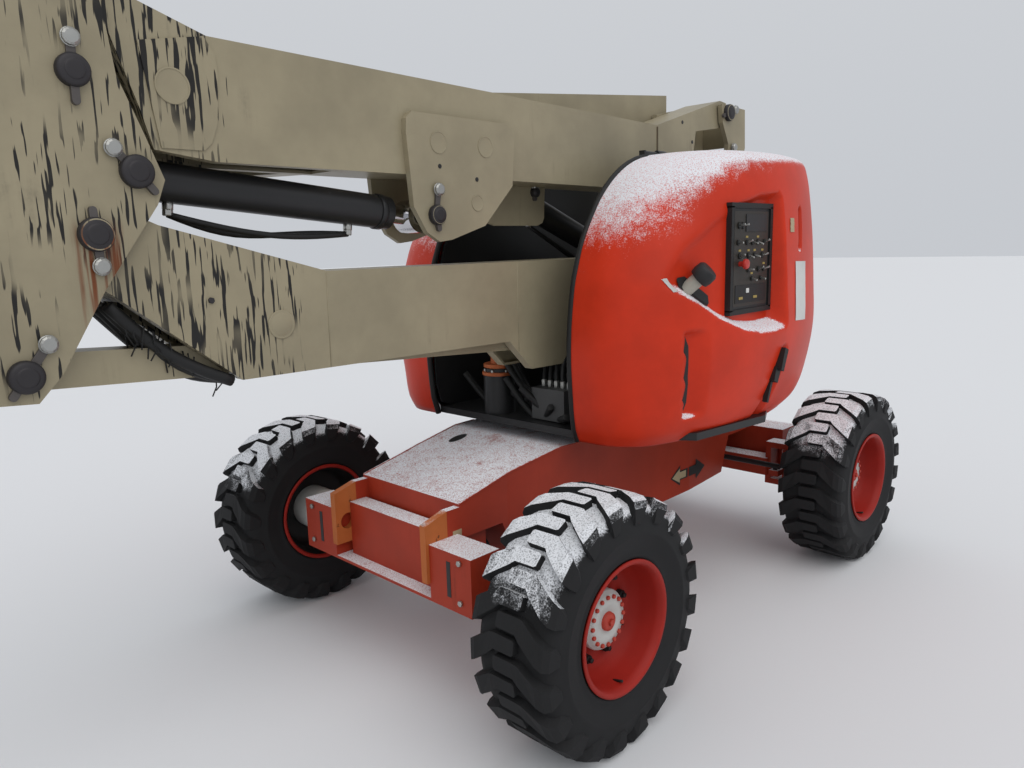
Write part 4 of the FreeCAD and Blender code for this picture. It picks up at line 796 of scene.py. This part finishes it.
class LIFT_OT_hoods(bpy.types.Operator):
    """Moulded side hoods: smooth shells with the panel scoop, slots, latch recess, edge strip and hinges"""
    bl_idname = "lift.hoods"
    bl_label = "Hoods"

    def shell(self, name, side, steps, step, scooped):
        rows = along_rows(HOOD, step)
        rings = [(row[0], hood_ring(row, steps)) for row in rows]
        last = rows[-1]
        for rise, inset in ((0.003, 0.006), (0.0055, 0.016), (0.0068, 0.030)):
            rings.append((last[0] + rise, hood_ring(last, steps, inset)))
        verts, faces = [], []
        for z, ring in rings:
            for x, y in ring:
                y_out = hood_depth(x, y, z) if scooped else y
                verts.append(at(x, side * y_out, z))
        count = len(rings[0][1])
        for i in range(len(rings) - 1):
            for k in range(count - 1):
                face = (i * count + k, i * count + k + 1, (i + 1) * count + k + 1, (i + 1) * count + k)
                middle = sum((verts[v] for v in face), Vector()) / 4
                x, z = middle.x - SHIFT, middle.z
                (low_x, low_z), (high_x, high_z) = PANEL_OPENING
                if scooped and abs(middle.y) > 0.8 and low_x < x < high_x and low_z < z < high_z:
                    continue
                faces.append(face if side < 0 else face[::-1])
        top = tuple(range((len(rings) - 1) * count, len(rings) * count))
        faces.append(top if side < 0 else top[::-1])
        mesh = bpy.data.meshes.new(name)
        mesh.from_pydata(verts, [], faces)
        mesh.materials.append(material("hood_red"))
        mesh.polygons.foreach_set("use_smooth", [True] * len(faces))
        thing = bpy.data.objects.new(name, mesh)
        bpy.context.scene.collection.objects.link(thing)
        wall = thing.modifiers.new("Wall", "SOLIDIFY")
        wall.thickness = 0.006
        wall.offset = -1
        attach(thing, name.replace("shell_", ""))
        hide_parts(name.replace("shell_", ""))
        return rings

    def trim(self, name, side, rings, scooped):
        work = Build("trim_" + name, "rubber", "black_paint", "label_white", "panel_black", "decal_tan",
                     "tank_pale")
        front = [at(ring[0][0] + 0.006, side * 0.4235, z) for z, ring in rings[::3]]
        rear = [at(ring[-1][0] - 0.006, side * 0.4235, z) for z, ring in rings[::3]]
        work.tube(front + rear[::-1], 0.0135, 0, 10)
        for x in (-0.020, 0.180):
            work.lathe([(0.0085, 0), (0.0148, 0), (0.0148, 0.06), (0.0085, 0.06)], at(x, side * 0.42, 1.98),
                       (1, 0, 0), 1, 20, True, True)
            low, high = sorted((side * 0.432, side * 0.484))
            work.box(at(x, low, 1.9655), at(x + 0.06, high, 1.9725), 1)
        if scooped:
            self.fittings(work)
        work.finish(name, bevel=0.0015)

    def fittings(self, work):
        """Latch, slots drawn as black patches of painted shade, blank labels, filler neck and the seal round
        the panel.
        """
        rows = [(row[0], [p for p in hood_ring(row, 60) if p[1] > 0.6]) for row in along_rows(HOOD, 0.02)]

        def surface(x, z, proud=0.0):
            ring = min(rows, key=lambda r: abs(r[0] - z))[1]
            (x0, y0), (x1, y1) = min(zip(ring, ring[1:]), key=lambda e: abs(e[0][0] + e[1][0] - 2 * x))
            y = y0 + (y1 - y0) * (x - x0) / (x1 - x0)
            return at(x, -(hood_depth(x, y, z) + proud), z)

        (low_x, low_z), (high_x, high_z) = PANEL_OPENING
        for low, high in (((low_x - 0.014, low_z - 0.014), (high_x + 0.014, low_z + 0.006)),
                          ((low_x - 0.014, high_z - 0.006), (high_x + 0.014, high_z + 0.014)),
                          ((low_x - 0.014, low_z), (low_x + 0.006, high_z)),
                          ((high_x - 0.006, low_z), (high_x + 0.014, high_z))):
            work.box(at(low[0], -0.860, low[1]), at(high[0], -0.836, high[1]), 0)
        # Rubber T-latch lying in its groove
        grip, tail = Vector((0.188, 0, 1.165)), Vector((0.098, 0, 0.945))
        way = (tail - grip).normalized()
        cross = Vector((way.z, 0, -way.x))
        for first, last, half, deep in ((0.0, 0.095, 0.016, 0.018), (0.085, 0.145, 0.022, 0.012),
                                        (0.14, 0.235, 0.009, 0.008)):
            corners = []
            for along, sideways in ((first, -half), (last, -half * 0.8), (last, half * 0.8), (first, half)):
                p = grip + way * along + cross * sideways
                corners.append((p, surface(p.x, p.z)))
            base = min(spot.y for p, spot in corners) + 0.014
            verts = [Vector((p.x + SHIFT, base, p.z)) for p, spot in corners]
            verts += [Vector((p.x + SHIFT, base - 0.014 - deep, p.z)) for p, spot in corners]
            work.add(verts, [(0, 1, 2, 3), (7, 6, 5, 4), (0, 4, 5, 1), (1, 5, 6, 2), (2, 6, 7, 3),
                             (3, 7, 4, 0)], 0)
        # Patches laid on the surface: corners, material, rounded; the rounded black patches are painted shade
        # standing in for the insides of the slots
        for spots, slot, rounded in (
                (((0.290, 1.520), (0.425, 1.516), (0.425, 1.265), (0.290, 1.272)), 2, False),
                (((0.250, 1.697), (0.292, 1.697), (0.284, 1.640), (0.242, 1.640)), 4, False),
                (((-0.482, 1.483), (-0.462, 1.484), (-0.432, 1.436), (-0.452, 1.433)), 2, False),
                (((-0.410, 1.266), (-0.384, 1.266), (-0.348, 0.970), (-0.374, 0.970)), 3, True),
                (((-0.432, 1.462), (-0.400, 1.500), (-0.246, 1.398), (-0.278, 1.360)), 3, True),
                (((0.362, 1.732), (0.384, 1.732), (0.366, 1.574), (0.344, 1.574)), 3, True)):
            grid, faces = [], []
            count = 9
            for i in range(count):
                for k in range(count):
                    u, v = i / (count - 1), k / (count - 1)
                    if rounded:
                        u = 0.5 + (u - 0.5) * math.sqrt(max(1 - max(abs(2 * v - 1) * 7 - 6, 0.0) ** 2, 0.02))
                    first = [mix(spots[0][i], spots[1][i], u) for i in (0, 1)]
                    last = [mix(spots[3][i], spots[2][i], u) for i in (0, 1)]
                    x, z = (mix(first[i], last[i], v) for i in (0, 1))
                    grid.append(surface(x, z, 0.005 if rounded else 0.0025))
            for i in range(count - 1):
                for k in range(count - 1):
                    faces.append((i * count + k, i * count + k + 1, (i + 1) * count + k + 1,
                                  (i + 1) * count + k))
            work.add(grid, faces, slot)
        # Fuel filler: a pale neck leaning out of its slot, with a dark ribbed cap
        foot, head = at(-0.372, -0.770, 1.425), at(-0.352, -0.838, 1.486)
        way = (head - foot).normalized()
        work.rod(foot, head, 0.027, 5, 24)
        work.lathe(((0, 0.040), (0.034, 0.040), (0.041, 0.032), (0.043, 0.006), (0.040, -0.012),
                    (0.0, -0.012)), head, way, 3, 28)

    def execute(self, context):
        rings = self.shell("shell_hood_right", -1, 150, 0.008, True)
        self.trim("hood_right", -1, rings, True)
        rings = self.shell("shell_hood_left", 1, 40, 0.030, False)
        self.trim("hood_left", 1, rings, False)
        return {"FINISHED"}


# Booms
# Pin heads: body, x, z, radius, plate's outer y, side it faces, way to the bolt, way to the tab
PIN_HEADS = (
    ("knuckle", -2.219, 2.047, 0.037, -0.270, -1, (0.002, 0.073), (-0.001, -0.073)),
    ("knuckle", -2.099, 1.823, 0.040, -0.270, -1, (-0.051, 0.054), (0.041, -0.050)),
    ("knuckle", -2.211, 1.670, 0.040, -0.270, -1, (0.004, -0.077), (-0.002, 0.062)),
    ("knuckle", -2.399, 1.345, 0.038, -0.270, -1, (0.054, 0.072), (-0.034, -0.046)),
    ("knuckle", -2.270, 2.285, 0.040, -0.270, -1, (0.060, 0.045), (-0.050, -0.040)),
    ("knuckle", -2.219, 2.047, 0.037, -0.010, 1, (0.002, 0.073), (-0.001, -0.073)),
    ("knuckle", -2.211, 1.670, 0.040, -0.010, 1, (0.004, -0.077), (-0.002, 0.062)),
    ("upright", 0.849, 2.250, 0.040, -0.270, -1, (0.060, 0.020), (-0.055, -0.020)),
    ("upright", 0.901, 2.013, 0.034, -0.270, -1, (0.000, 0.070), (0.000, -0.062)),
    ("upright", 0.620, 2.190, 0.040, 0.230, 1, (0.060, 0.030), (-0.050, -0.030)),
    ("upright", 0.790, 1.380, 0.037, 0.230, 1, (0.000, 0.075), (0.000, -0.045)),
    ("mid_boom", -1.119, 1.726, 0.0325, -0.263, -1, (0.010, 0.085), (0.006, -0.050)),
    ("mid_boom", -0.406, 1.834, 0.020, -0.066, -1, (0.000, 0.030), (0.000, -0.030)),
    ("turntable", 0.800, 1.504, 0.042, -0.270, -1, (-0.070, 0.020), (0.062, -0.020)),
    ("turntable", 0.612, 1.179, 0.034, -0.270, -1, (-0.040, 0.055), (0.035, -0.045)),
)
# Small pins: body, x, z, radius, y of the two ends
SMALL_PINS = (
    ("main_boom_fly", -3.375, 1.690, 0.028, -0.002, 0.202),
    ("jib_bracket", -3.440, 1.650, 0.026, -0.002, 0.202),
    ("jib_bracket", -3.418, 1.540, 0.018, -0.002, 0.202),
    ("platform_support", -3.998, 0.610, 0.022, -0.002, 0.202),
)
# A point of the main boom's top edge, and how far the boom rises along X
MAIN_TOP_X, MAIN_TOP_Z = -0.254, 2.259
MAIN_SLOPE = 0.102
REINFORCEMENT = ((-2.052, 2.146), (-1.880, 2.182), (-1.852, 2.140), (-1.848, 2.084), (-1.862, 1.960),
                 (-1.882, 1.910), (-1.905, 1.889), (-2.018, 1.889))
SECOND_BRACKET = ((-0.700, 1.857), (-0.335, 1.857), (-0.343, 1.730), (-0.355, 1.708), (-0.385, 1.697),
                  (-0.640, 1.697), (-0.675, 1.706), (-0.692, 1.730))


def arm_outline(start, way, length, half):
    """A flat bar with a rounded far end, as an X-Z outline."""
    way = Vector((way[0], 0, way[1])).normalized()
    cross = Vector((-way.z, 0, way.x))
    points = [start + cross * half]
    for k in range(7):
        turn = math.pi * k / 6
        points.append(start + way * length + cross * half * math.cos(turn) + way * half * math.sin(turn))
    points.append(start - cross * half)
    return [(p.x, p.z) for p in points]


class LIFT_OT_booms(bpy.types.Operator):
    """Pin heads with keeper arms, plates, plugs, wear pads, cylinder fittings and the booms' fixed hoses"""
    bl_idname = "lift.booms"
    bl_label = "Booms"

    def pin_head(self, work, x, z, radius, face, side, bolt, tab):
        centre = at(x, face, z)
        out = Vector((0, side, 0))
        wide = radius + 0.0015
        work.lathe(((wide, -0.001), (wide, 0.014), (wide * 0.95, 0.0195), (wide * 0.80, 0.0230),
                    (wide * 0.62, 0.0236),
                    (wide * 0.56, 0.0262), (wide * 0.40, 0.0268), (0, 0.0262)), centre, out, 0, 32)
        reach = math.hypot(*bolt)
        low, high = sorted((face - side * 0.001, face + side * 0.0085))
        work.prism(arm_outline(centre, bolt, reach, 0.0105), low, high, 1)
        spot = centre + Vector((bolt[0], 0, bolt[1]))
        work.rod(spot + out * 0.008, spot + out * 0.0115, 0.0225, 2, 20)
        work.lathe(((0.0205, 0.0115), (0.0205, 0.018), (0.0150, 0.0225), (0, 0.0232)), spot, out, 2, 12,
                   False)
        low, high = sorted((face - side * 0.001, face + side * 0.0125))
        work.prism(arm_outline(centre, tab, math.hypot(*tab) - 0.004, 0.0095), low, high, 1)

    def pins(self):
        bodies = sorted({row[0] for row in PIN_HEADS} | {row[0] for row in SMALL_PINS})
        for body in bodies:
            work = Build("pin_heads_" + body, "pin_dark", "pin_arm", "zinc")
            for row in PIN_HEADS:
                if row[0] == body:
                    self.pin_head(work, *row[1:])
            for name, x, z, radius, low_y, high_y in SMALL_PINS:
                if name == body:
                    for y, side in ((low_y, -1), (high_y, 1)):
                        work.lathe(((radius + 0.0012, -0.004), (radius + 0.0012, 0.004),
                                    (radius * 0.8, 0.007), (0, 0.007)), at(x, y, z), (0, side, 0), 0, 24)
            work.finish(body, bevel=0.0012)

    def mid_boom(self):
        work = Build("boom_plates_mid", "boom_peeled", "boom_paint", "black_paint", "rust_seam")
        work.prism([(x + SHIFT, z) for x, z in REINFORCEMENT], -0.2445, -0.2405, 0)
        work.lathe(((0.046, 0.0), (0.046, 0.0028), (0.042, 0.0030), (0.041, 0.0012), (0, 0.0012)),
                   at(-1.975, -0.2445, 2.046), (0, -1, 0), 1, 36)
        # Round plugs of the gusset, and its small holes drawn as black discs of painted shade
        face, deep = -0.263, 0.002
        for x, z, radius in ((-1.094, 1.967, 0.037), (-0.873, 1.967, 0.037), (-0.921, 1.770, 0.029)):
            work.lathe(((radius, 0), (radius, deep), (radius - 0.003, deep), (radius - 0.004, 0.0006),
                        (0, 0.0006)), at(x, face, z), (0, -1, 0), 1, 32)
        for x, z in ((-1.093, 1.889), (-0.921, 1.852)):
            work.rod(at(x, face, z), at(x, face - 0.002, z), 0.008, 2, 12)
        work.prism([(x + SHIFT, z) for x, z in SECOND_BRACKET], -0.066, -0.054, 1)
        # Rusty seam where the rear section is welded on, and two small holes behind it, drawn as black discs
        # of painted shade
        work.tube([at(0.256, -0.2400, 2.136), at(0.256, -0.2404, 2.000), at(0.256, -0.2400, 1.856)], 0.0050,
                  3, 6)
        for x, z in ((0.470, 2.175), (0.560, 2.090)):
            work.rod(at(x, -0.239, z), at(x, -0.2415, z), 0.009, 2, 12)
        work.finish("mid_boom", bevel=0.0010)

    def lower_boom(self):
        work = Build("boom_plates_lower", "boom_paint", "pin_dark", "rubber")
        work.lathe(((0.043, 0), (0.043, 0.0022), (0.040, 0.0026), (0.036, 0.0012), (0.034, 0.0026),
                    (0, 0.0026)), at(-1.717, -0.240, 1.405), (0, -1, 0), 0, 36)
        work.hexagon(at(-1.925, -0.240, 1.490), at(-1.925, -0.247, 1.490), 0.009, 1)
        for x0, z0, x1, z1 in ((-1.553, 1.548, -1.558, 1.256), (-0.700, 1.553, -0.702, 1.205)):
            work.tube([at(x0, -0.2402, z0), at(x1, -0.2402, z1)], 0.0016, 0, 6)
        # Hoses and torn netting in the fork, under the slanted edge
        rng = random.Random(11)
        for k, y in enumerate((-0.215, -0.180, -0.140, -0.100, -0.065)):
            sag = 0.030 + 0.012 * (k % 3)
            line = []
            for j in range(13):
                t = j / 12
                x, z = -2.175 + 0.305 * t, 1.505 - 0.235 * t
                line.append(at(x - 0.010, y + 0.012 * math.sin(5 * t + k),
                               z - sag * math.sin(math.pi * t) - 0.012))
            work.tube(line, 0.017 - 0.002 * (k % 2), 2, 10)
        for k in range(26):
            t = rng.uniform(0.10, 0.95)
            x, z = -2.175 + 0.305 * t, 1.490 - 0.235 * t
            y = rng.uniform(-0.225, -0.16)
            long = rng.uniform(0.025, 0.095)
            work.tube([at(x, y, z), at(x + rng.uniform(-0.01, 0.01), y, z - long * 0.6),
                       at(x + rng.uniform(-0.02, 0.02), y, z - long)], 0.0022, 2, 5)
        work.finish("lower_boom", bevel=0.0)

    def cylinders(self):
        """Gland rings, ports and short fixed hoses on the barrels."""
        # Body, foot pin, head pin, middle y, barrel radius
        rows = (("tower_lift_barrel", (-2.099, 1.823), (-1.119, 1.726), -0.140, 0.055),
                ("main_lift_barrel", (0.790, 1.380), (-0.550, 1.903), 0.100, 0.055))
        for body, foot, head, y, radius in rows:
            work = Build("cylinder_details_" + body, "black_paint", "rubber", "zinc")
            start, end = at(foot[0], y, foot[1]), at(head[0], y, head[1])
            way = (end - start).normalized()
            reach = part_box(body)
            far_x = reach[1].x if way.x > 0 else reach[0].x
            length = abs((far_x - start.x) / way.x)
            gland = start + way * (length - 0.030)
            work.lathe(((radius + 0.0008, 0.0), (radius + 0.0045, 0.006), (radius + 0.0045, 0.024),
                        (radius + 0.0008, 0.028)), gland - way * 0.030, way, 0, 32, True, True)
            down = way.cross(Vector((0, 1, 0)))
            down = down if down.z < 0 else -down
            port = start + way * 0.13 + down * (radius - 0.004)
            far_port = start + way * (length - 0.16) + down * (radius - 0.004)
            for p in (port, far_port):
                work.rod(p, p + down * 0.022, 0.015, 2, 12)
                work.hexagon(p + down * 0.020, p + down * 0.038, 0.014, 2)
            for k, side in enumerate((-0.024, 0.026)):
                line = []
                for j in range(15):
                    t = j / 14
                    low = 0.034 + 0.030 * math.sin(math.pi * t) + 0.010 * k * math.sin(2 * math.pi * t)
                    spread = Vector((0, side * math.sin(math.pi * t), 0))
                    line.append(port + (far_port - port) * t + down * low + spread)
                work.tube(line, sizes().hose_radius, 1, 10)
            work.finish(body, bevel=0.0)

    def main_boom(self):
        """Wear pads with their bolts at the mouth of the base section."""
        work = Build("boom_mouth", "pad_white", "zinc")
        x, pad = -2.985, 0.004
        middle_z = MAIN_TOP_Z + MAIN_SLOPE * (x - MAIN_TOP_X)
        for wall, side in ((0.004, -1), (0.196, 1)):
            for level in (middle_z - 0.060, middle_z - 0.200):
                low, high = sorted((wall, wall + side * pad))
                work.box(at(x - 0.006, low, level - 0.02), at(x + 0.060, high, level + 0.02), 0)
                work.hexagon(at(x + 0.03, wall + side * 0.003, level),
                             at(x + 0.03, wall + side * 0.010, level), 0.008, 1)
        work.finish("main_boom_base", bevel=0.001)

    def execute(self, context):
        self.pins()
        self.mid_boom()
        self.lower_boom()
        self.cylinders()
        self.main_boom()
        return {"FINISHED"}


# Turntable and chassis
class LIFT_OT_details(bpy.types.Operator):
    """Swing drive, hoses, the ground panel's switches, chassis slots, blank decals and edge beads"""
    bl_idname = "lift.details"
    bl_label = "Turntable and chassis details"

    def swing_drive(self):
        work = Build("swing_fittings", "brass_rust", "zinc", "rubber")
        x, y = -0.470, 0.110
        work.lathe(((0.030, 0), (0.075, 0.0), (0.075, 0.014), (0.052, 0.016), (0.050, 0.032),
                    (0.068, 0.034), (0.068, 0.050),
                    (0.030, 0.052)), at(x, y, 1.050), (0, 0, 1), 0, 32, True, True)
        for k in range(6):
            a = math.pi / 3 * k + 0.3
            spot = at(x + 0.060 * math.cos(a), y + 0.060 * math.sin(a), 1.064)
            work.hexagon(spot, spot + Vector((0, 0, 0.012)), 0.008, 1)
        work.lathe(((0.036, 0.029), (0.046, 0.031), (0.046, 0.040), (0.037, 0.046), (0.0355, 0.080),
                    (0.041, 0.084), (0.041, 0.096), (0.0355, 0.100), (0.0355, 0.1205), (0.030, 0.1215),
                    (0.0, 0.1215)),
                    at(x, y, 1.050), (0, 0, 1), 0, 24, True)
        for k, (dx, dy) in enumerate(((-0.030, -0.020), (-0.005, -0.038), (0.028, -0.026))):
            start = at(x + dx, y + dy, 1.140)
            work.rod(start, start + Vector((0, -0.030, 0)), 0.014, 1, 12)
            line = []
            for j in range(17):
                t = j / 16
                line.append(start + Vector((0.03 * t + (0.10 + 0.05 * k) * t * t, -0.03 - 0.30 * t,
                                            0.02 * t - (0.16 + 0.035 * k) * math.sin(math.pi * t) ** 1.2)))
            work.tube(line, 0.014 - 0.002 * (k == 2), 2, 12)
        work.finish("turntable", bevel=0.001)

    def turntable(self):
        work = Build("turntable_fittings", "rubber", "zinc", "cast_grey")
        # Hoses along the front edge of the table, between the bulkheads
        rows = ((-0.34, 0.030, 0.016, 0.92), (-0.24, 0.055, 0.015, 0.95), (-0.12, 0.040, 0.012, 0.99),
                (0.05, 0.045, 0.014, 0.94))
        for k, (y0, sag, radius, z0) in enumerate(rows):
            line = []
            for j in range(15):
                t = j / 14
                line.append(at(-0.530 + 0.012 * k + 0.05 * math.sin(math.pi * t), y0 + 0.26 * t,
                               z0 + 0.10 * t - sag * 2.2 * math.sin(math.pi * t)))
            work.tube(line, radius, 0, 10)
        # Valve block with its hoses
        work.box(at(-0.505, -0.300, 0.885), at(-0.395, -0.120, 1.020), 2)
        for k in range(5):
            spot = at(-0.450, -0.285 + 0.035 * k, 1.020)
            work.hexagon(spot, spot + Vector((0, 0, 0.030)), 0.013, 1)
            line = [spot + Vector((0.0, 0.0, 0.02))]
            for j in range(1, 12):
                t = j / 11
                line.append(spot + Vector((0.30 * t * t + 0.02 * k * t, 0.02 * math.sin(3 * t),
                                           0.02 + 0.16 * math.sin(math.pi * t * 0.8)
                                           - 0.10 * t * t)))
            work.tube(line, 0.0095, 0, 8)
        # Rim bolts of the slew ring
        for k in range(24):
            a = 2 * math.pi * k / 24
            spot = at(0.375 * math.cos(a), 0.375 * math.sin(a), 0.8495)
            work.hexagon(spot, spot - Vector((0, 0, 0.012)), 0.010, 1)
        # Bolts on the tower plates
        for x, z in ((0.560, 1.000), (0.700, 1.000), (0.840, 1.000), (0.560, 1.350), (0.900, 1.350)):
            work.hexagon(at(x, -0.270, z), at(x, -0.281, z), 0.014, 1)
        work.finish("turntable", bevel=0.001)

    def panel(self):
        """Ground control panel: framed face, switch rows, key and stop knob, blank labels."""
        work = Build("ground_panel_face", "panel_black", "rubber", "decal_yellow", "knob_red", "zinc",
                     "panel_brown", "label_white")
        y = PANEL_FACE_Y
        work.box(at(-0.143, y - 0.003, 1.357), at(0.133, y + 0.004, 1.723), 5)
        work.box(at(-0.055, y - 0.006, 1.645), at(0.115, y - 0.002, 1.712), 0)
        work.box(at(-0.130, y - 0.005, 1.370), at(0.120, y - 0.002, 1.440), 1)
        rng = random.Random(5)
        rows = ((1.668, (-0.108, -0.080), 0.013), (1.604, (-0.115, -0.045, 0.000, 0.045, 0.100), 0.011),
                (1.552, (-0.100, -0.030, 0.020, 0.085), 0.012), (1.498, (-0.030, 0.055, 0.100), 0.011),
                (1.462, (0.000, 0.075), 0.009))
        for z, places, size in rows:
            for x in places:
                base = at(x, y - 0.003, z)
                work.rod(base, base + Vector((0, -0.006, 0)), size, 1, 14)
                tip = base + Vector((rng.uniform(-0.004, 0.004), -0.026, rng.uniform(-0.010, 0.010)))
                work.rod(base + Vector((0, -0.004, 0)), tip, 0.0042, 4, 8)
                if rng.random() < 0.45:
                    work.box(base + Vector((-0.008, -0.0012, 0.017)), base + Vector((0.010, 0.001, 0.025)), 2)
        for x in (-0.103, 0.015):
            work.box(at(x, y - 0.007, 1.384), at(x + 0.030, y - 0.004, 1.394), 2)
        work.box(at(-0.045, y - 0.007, 1.408), at(-0.023, y - 0.004, 1.426), 6)
        work.lathe(((0.0, 0.034), (0.017, 0.034), (0.020, 0.028), (0.019, 0.020), (0.010, 0.016),
                    (0.010, 0.0)), at(-0.097, y - 0.003, 1.522), (0, -1, 0), 3, 24)
        work.finish("turntable", bevel=0.0008)

    def chassis(self):
        work = Build("chassis_fittings", "chassis_red", "black_paint", "decal_tan", "decal_black", "zinc",
                     "label_white", "rubber")
        # End boxes: vertical slots drawn as thin black plates of painted shade standing in for the openings,
        # and bolts
        for side in (-1, 1):
            for x in (-1.2515, 1.2485):
                work.box(at(x, side * 0.400 - 0.010, 0.420), at(x + 0.003, side * 0.400 + 0.010, 0.550), 1)
                for level in (0.415, 0.560):
                    spot = at(x + (0.0 if x < 0 else 0.003), side * 0.460, level)
                    work.hexagon(spot, spot + Vector((-0.008 if x < 0 else 0.008, 0, 0)), 0.011, 4)
            # Edge beads where the deck meets the side plates
            for end in (-1, 1):
                line = [at(end * x, side * (y - 0.001), z) for x, y, z in
                        ((1.097, 0.2975, 0.6935), (0.970, 0.2975, 0.7225), (0.850, 0.2975, 0.7500),
                         (0.820, 0.3005, 0.7565),
                         (0.700, 0.3110, 0.7765), (0.560, 0.3225, 0.7995), (0.430, 0.3335, 0.7995))]
                work.tube(line, 0.0045, 0, 8)
        # Blank arrow decal on the side plate and the blank tag by the lug
        for side in (-1, 1):
            y0, y1 = sorted((side * 0.3352, side * 0.3364))
            arrow = ((-0.155, 0.000), (-0.070, 0.052), (-0.070, 0.024), (0.000, 0.024), (0.000, -0.024),
                     (-0.070, -0.024), (-0.070, -0.052))
            for middle, turn, slot in ((0.402, 1, 3), (0.412, -1, 3)):
                work.prism([(middle + turn * x + SHIFT, 0.470 + z) for x, z in arrow][::turn], y0, y1, slot)
            inner = [(0.402 + (x * 0.80 - 0.018) + SHIFT, 0.470 + z * 0.70) for x, z in arrow]
            work.prism(inner, y0 - 0.0006, y1 + 0.0006, 2)
            work.prism([(x + SHIFT, z) for x, z in ((-0.400, 0.500), (-0.250, 0.500), (-0.250, 0.440),
                                                    (-0.400, 0.440))], y0, y1, 2)
            for end in (-1, 1):
                y0, y1 = sorted((side * 0.2982, side * 0.2992))
                low, high = sorted((end * 1.135, end * 1.092))
                work.box(at(low, y0, 0.480), at(high, y1, 0.600), 2 if end < 0 else 5)
        # Oval opening in the deck, drawn as a dark plate a hair above it: painted shade standing in for the
        # hole
        ring = []
        for k in range(20):
            a = 2 * math.pi * k / 20
            x = -0.670 + 0.050 * math.cos(a)
            ring.append(at(x, 0.180 + 0.026 * math.sin(a), 0.800 - (abs(x) - 0.560) * 0.1654 + 0.0008))
        work.add(ring, [tuple(range(20))], 6)
        # Drive hubs with their bolts, and the hoses that run to them
        for side in (-1, 1):
            work.rod(at(-AXLE_X, side * 0.470, HUB_Z), at(-AXLE_X, side * 0.500, HUB_Z), 0.092, 0, 32)
            for k in range(12):
                a = 2 * math.pi * k / 12
                spot = at(-AXLE_X + 0.083 * math.cos(a), side * 0.500, HUB_Z + 0.083 * math.sin(a))
                work.hexagon(spot, spot + Vector((0, side * 0.008, 0)), 0.007, 4)
        for k, (y0, y1) in enumerate(((-0.20, -0.50), (-0.16, -0.46), (0.20, 0.50), (0.16, 0.46))):
            line = []
            for j in range(13):
                t = j / 12
                line.append(at(-0.900 + 0.02 * k - 0.09 * t, y0 + (y1 - y0) * t,
                               0.500 - 0.075 * math.sin(math.pi * t)))
            work.tube(line, 0.009, 6, 8)
        work.finish("chassis", bevel=0.0008)

    def execute(self, context):
        self.swing_drive()
        self.turntable()
        self.panel()
        self.chassis()
        return {"FINISHED"}


class LIFT_OT_platform(bpy.types.Operator):
    """Console buttons and the deck's anti-slip bars"""
    bl_idname = "lift.platform"
    bl_label = "Platform details"

    def execute(self, context):
        work = Build("platform_fittings", "rubber", "deck_steel")
        low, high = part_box("console")
        face = high.z + 0.0005
        for i in range(4):
            for k in range(7):
                spot = Vector((low.x + 0.045 + i * (high.x - low.x - 0.09) / 3,
                               low.y + 0.05 + k * (high.y - low.y - 0.10) / 6, face - 0.012))
                work.rod(spot, spot + Vector((0, 0, 0.010)), 0.011, 0, 12)
        # Anti-slip deck: raised bars on the floor
        deck_z = 0.3302
        for k in range(31):
            y = -0.870 + 1.740 * k / 30
            work.box(at(-4.935, y - 0.004, deck_z - 0.001), at(-4.265, y + 0.004, deck_z + 0.004), 1)
        for k in range(9):
            x = -4.925 + 0.650 * k / 8
            work.box(at(x - 0.003, -0.880, deck_z - 0.001), at(x + 0.003, 0.880, deck_z + 0.0035), 1)
        work.finish("platform", bevel=0.0)
        return {"FINISHED"}


OPERATORS = (LIFT_OT_stage, LIFT_OT_paint, LIFT_OT_tyres, LIFT_OT_rims, LIFT_OT_hoods, LIFT_OT_booms,
             LIFT_OT_details, LIFT_OT_platform)


class LIFT_PT_panel(bpy.types.Panel):
    bl_label = "Boom lift"
    bl_idname = "LIFT_PT_panel"
    bl_space_type = "VIEW_3D"
    bl_region_type = "UI"
    bl_category = "Boom lift"

    def draw(self, context):
        for group in (context.scene.lift_sizes, context.scene.lift_colours):
            for prop in group.bl_rna.properties:
                if prop.identifier not in ("rna_type", "name"):
                    self.layout.prop(group, prop.identifier)
        for operator in OPERATORS:
            self.layout.operator(operator.bl_idname)


CLASSES = (LiftSizes, LiftColours) + OPERATORS + (LIFT_PT_panel,)


def register():
    for cls in CLASSES:
        bpy.utils.register_class(cls)
    bpy.types.Scene.lift_sizes = bpy.props.PointerProperty(type=LiftSizes)
    bpy.types.Scene.lift_colours = bpy.props.PointerProperty(type=LiftColours)


def unregister():
    del bpy.types.Scene.lift_colours
    del bpy.types.Scene.lift_sizes
    for cls in reversed(CLASSES):
        bpy.utils.unregister_class(cls)


def main():
    register()
    for operator in OPERATORS:
        group, name = operator.bl_idname.split(".")
        getattr(getattr(bpy.ops, group), name)()


if __name__ == "__main__":
    main()
